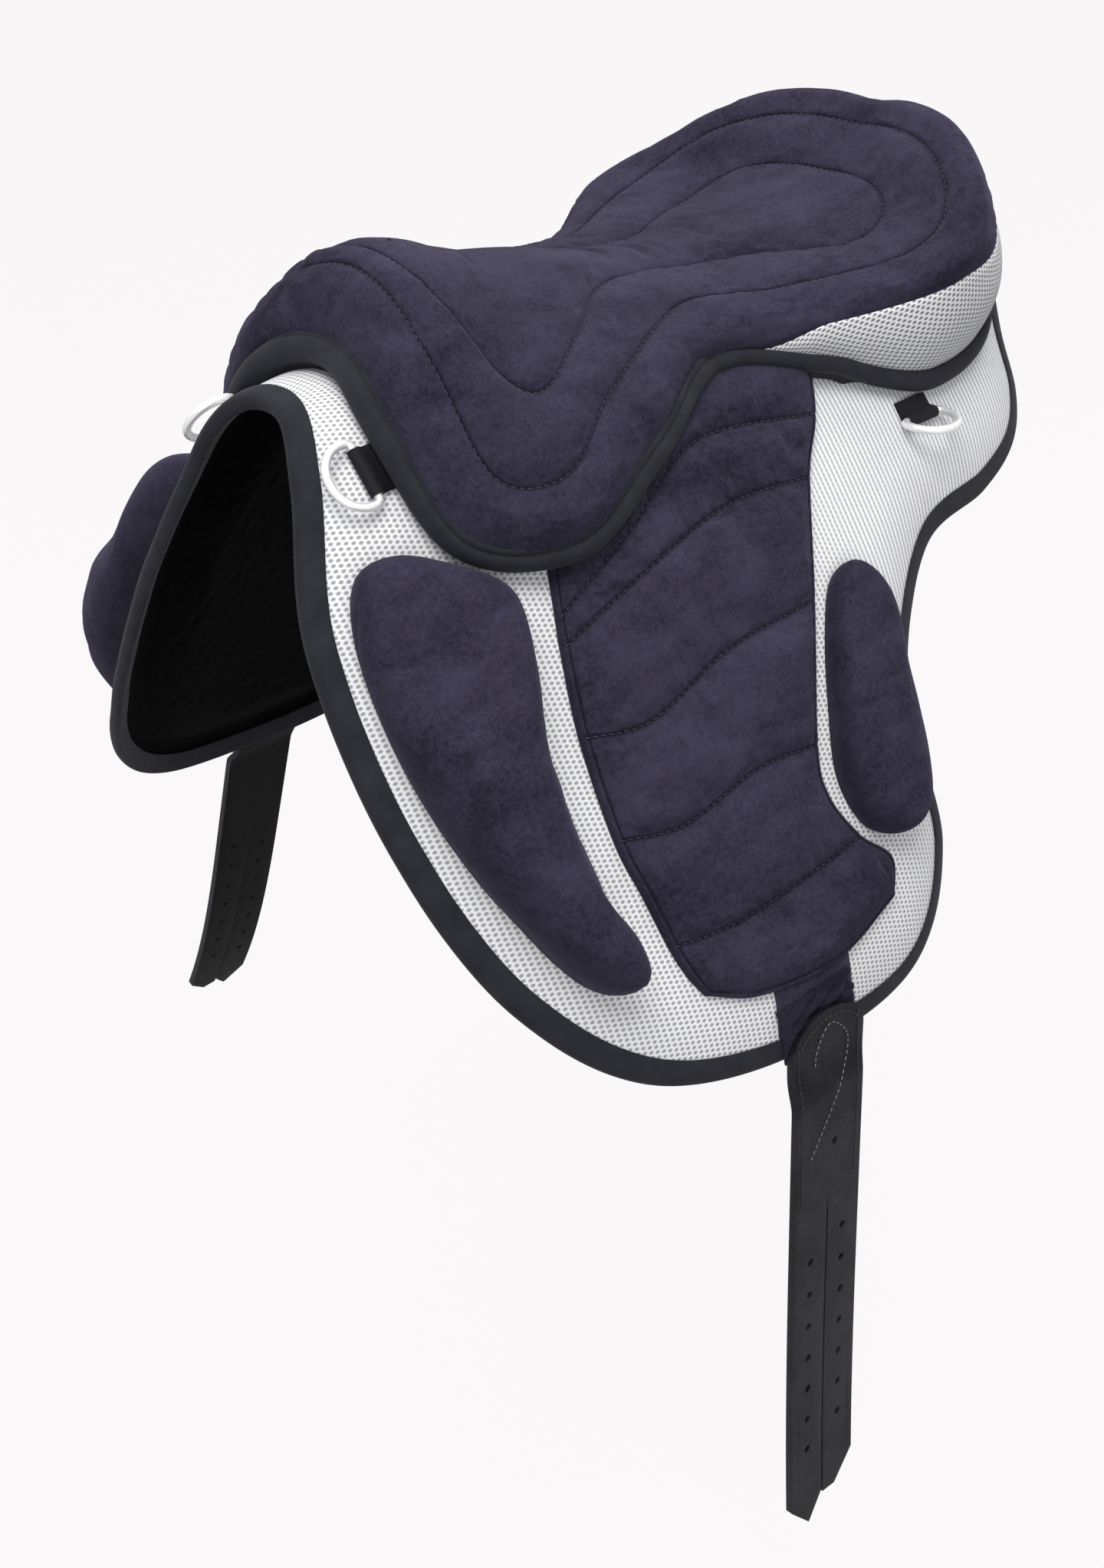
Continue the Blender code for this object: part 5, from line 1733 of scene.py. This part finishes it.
    def build_stitches(self) -> None:
        """Stitching on the head of the leather."""
        label = self.side.label
        for (name, line), finish in zip(
            self.stitch_lines().items(), (self.finishes.strap_thread, self.finishes.pale_thread)
        ):
            curve = smooth_points(line, 8)
            flat = np.column_stack([curve, np.full(len(curve), self.thickness + 0.0001)])
            path = self.lay(flat)
            out = self.lay(flat + (0, 0, 0.001)) - path
            Dressing(
                f"billet_{name}_stitches_{label}", finish, "leather", f"billet_{label}"
            ).piece(self.stitch.row(path, out))

    def build_hanger(self) -> None:
        """The gathered cloth hanger between the panel and the leather."""
        start, end = self.hanger_start, self.hanger_end
        half = self.width / 2

        def place(u: Array, v: Array) -> Array:
            across = (u - 0.5) * 2 * half
            down = self.edge_down + start + (end - start) * v
            slanted = np.stack([across * 0.30, down + across * 0.25], axis=-1)
            wrinkles = ripple(slanted, 0.0065, 41) * (0.0022 - 0.0017 * ease(0.30, 0.55, v))
            edge = np.exp(-(half - np.abs(across)) / 0.0012)
            height = 0.0050 + wrinkles - edge * 0.0010 + 0.0004 * ease(0.30, 0.75, v)
            height = height * ease(-0.05, 0.10, v) + 0.0028 * (1 - ease(-0.05, 0.10, v))
            back = self.place_back + across
            return mirrored(BACK.at(back, down, height), self.side)

        made = bent_grid(40, 44, place)
        face_out(made, (self.side.value, 0, 0))
        label = self.side.label
        Dressing(
            f"billet_hanger_cloth_{label}", self.finishes.hanger, "suede", f"billet_{label}",
            (f"billet_hanger_{label}",), thickness=0.0018, cut=(2 * half, 1.1 * (end - start)),
        ).piece(made)

    def build(self) -> None:
        """Makes the billet's pieces."""
        self.build_hanger()
        self.build_leather()
        self.build_stitches()


@dataclass(frozen=True)
class Studio:
    """Camera, pale floor and soft light."""

    eye: Triple = (0.72954594, -0.73330748, 0.31625)
    look: Triple = (-0.6473412, 0.55181795, -0.52578163)
    right: Triple = (0.6743875, 0.73611691, -0.05773554)
    up: Triple = (-0.35517724, 0.39195516, 0.84865793)
    lens: float = 43.8706
    backdrop: Triple = (0.962, 0.945, 0.953)
    floor_level: float = -0.80
    shadow_share: float = 0.045
    floor_bounce: Triple = (0.16, 0.16, 0.16)
    sky: Triple = (0.46, 0.46, 0.475)
    aim: Triple = (0.0, -0.05, -0.15)
    lamps: tuple[tuple[str, Triple, float, float, float], ...] = (
        ("key", (0.45, -0.55, 1.25), 2.4, 1.4, 34.0),
        ("front", (1.3, -0.7, 0.25), 2.6, 1.6, 15.0),
        ("top", (-0.2, 0.6, 1.6), 2.4, 1.6, 21.0),
    )

    def build(self) -> None:
        """Makes the camera, floor, world and lamps."""
        scene = bpy.context.scene
        scene.view_settings.view_transform = "Standard"
        data = bpy.data.cameras.new("camera")
        data.lens, data.sensor_width = self.lens, 36
        data.clip_start, data.clip_end = 0.05, 60
        camera = bpy.data.objects.new("camera", data)
        scene.collection.objects.link(camera)
        axes = (Vector(self.right), Vector(self.up), -Vector(self.look))
        turned = Matrix(axes).transposed().to_4x4()
        turned.translation = self.eye
        camera.matrix_world = turned
        scene.camera = camera
        self.build_floor()
        self.build_world()
        for name, heading, reach, size, power in self.lamps:
            lamp = bpy.data.lights.new(name, "AREA")
            lamp.shape, lamp.size, lamp.energy = "DISK", size, power
            made = bpy.data.objects.new(name, lamp)
            scene.collection.objects.link(made)
            way = Vector(heading).normalized()
            turned = way.to_track_quat("Z", "Y").to_matrix().to_4x4()
            turned.translation = Vector(self.aim) + way * reach
            made.matrix_world = turned

    def seen_as_white(self, finish: Finish) -> Wire:
        """1 where the camera, or a reflection or something clear, sees the surface."""
        path = finish.node("ShaderNodeLightPath", {})
        camera = finish.wire(path, "Is Camera Ray")
        glossy = finish.wire(path, "Is Glossy Ray")
        clear = finish.wire(path, "Is Transmission Ray")
        return (camera + glossy + clear).least(1.0)

    def build_floor(self) -> None:
        """A wide pale floor that keeps the shadow."""
        made = bmesh.new()
        bmesh.ops.create_grid(made, x_segments=8, y_segments=8, size=12)
        bmesh.ops.translate(made, verts=made.verts, vec=(0, 0, self.floor_level))
        mesh = bpy.data.meshes.new("floor")
        made.to_mesh(mesh)
        made.free()
        finish = Finish("floor", 0.9)
        finish.fix(Specular_IOR_Level=0.0, Emission_Strength=1.0)
        white = self.seen_as_white(finish)
        kept = tuple(self.shadow_share * c for c in self.backdrop)
        lit = tuple((1 - self.shadow_share) * c for c in self.backdrop)
        finish.feed("Base Color", finish.mixed(white, self.floor_bounce, kept))
        finish.feed("Emission Color", finish.mixed(white, (0.0, 0.0, 0.0), lit))
        mesh.materials.append(finish.material)
        floor = bpy.data.objects.new("floor", mesh)
        bpy.context.scene.collection.objects.link(floor)

    def build_world(self) -> None:
        """Soft light from all round, which the camera sees as the backdrop."""
        world = bpy.data.worlds.new("studio")
        bpy.context.scene.world = world
        world.use_nodes = True
        nodes, links = world.node_tree.nodes, world.node_tree.links
        path = nodes.new("ShaderNodeLightPath")
        seen = Wire(world.node_tree, path.outputs["Is Camera Ray"])
        seen = (seen + Wire(world.node_tree, path.outputs["Is Glossy Ray"])).least(1.0)
        mix = nodes.new("ShaderNodeMix")
        mix.data_type = "RGBA"
        links.new(seen.socket, mix.inputs["Factor"])
        ends = [s for s in mix.inputs if s.type == "RGBA"]
        ends[0].default_value = (*self.sky, 1)
        ends[1].default_value = (*self.backdrop, 1)
        out = next(s for s in mix.outputs if s.type == "RGBA")
        links.new(out, nodes["Background"].inputs["Color"])


KNEE_OUTLINE = (
    (-14, 109), (4, 108), (24, 121), (42, 138), (45, 153), (38, 180), (28, 206), (22, 230),
    (19, 262), (20, 290), (25, 314), (22, 330), (8, 327), (-3, 308), (-12, 282), (-20, 255),
    (-27, 215), (-29, 173), (-25, 133),
)
THIGH_OUTLINE = (
    (240, 206), (224, 209), (208, 232), (193, 264), (181, 300), (187, 329), (204, 338),
    (222, 328), (234, 296), (241, 262), (249, 226),
)


def main() -> None:
    """Builds the studio and the saddle."""
    logging.basicConfig(level=logging.INFO, format="%(name)s: %(message)s")
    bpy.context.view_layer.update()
    Studio().build()
    finishes = Finishes()
    SaddleBase(finishes).build()
    for side in Side:
        LegPanel(finishes, side).build()
        Block("knee_block", finishes, side, KNEE_OUTLINE, 0.046, 0.028).build()
        Block("thigh_block", finishes, side, THIGH_OUTLINE, 0.026, 0.018).build()
    PaddedSeat(finishes).build()
    Rings(finishes).build()
    GirthBillet(finishes, Side.LEFT, hang=4.5, curl=2.5, drift=-6.0).build()
    GirthBillet(finishes, Side.RIGHT, hang=19.0, curl=15.0, drift=-3.0).build()


if __name__ == "__main__":
    main()
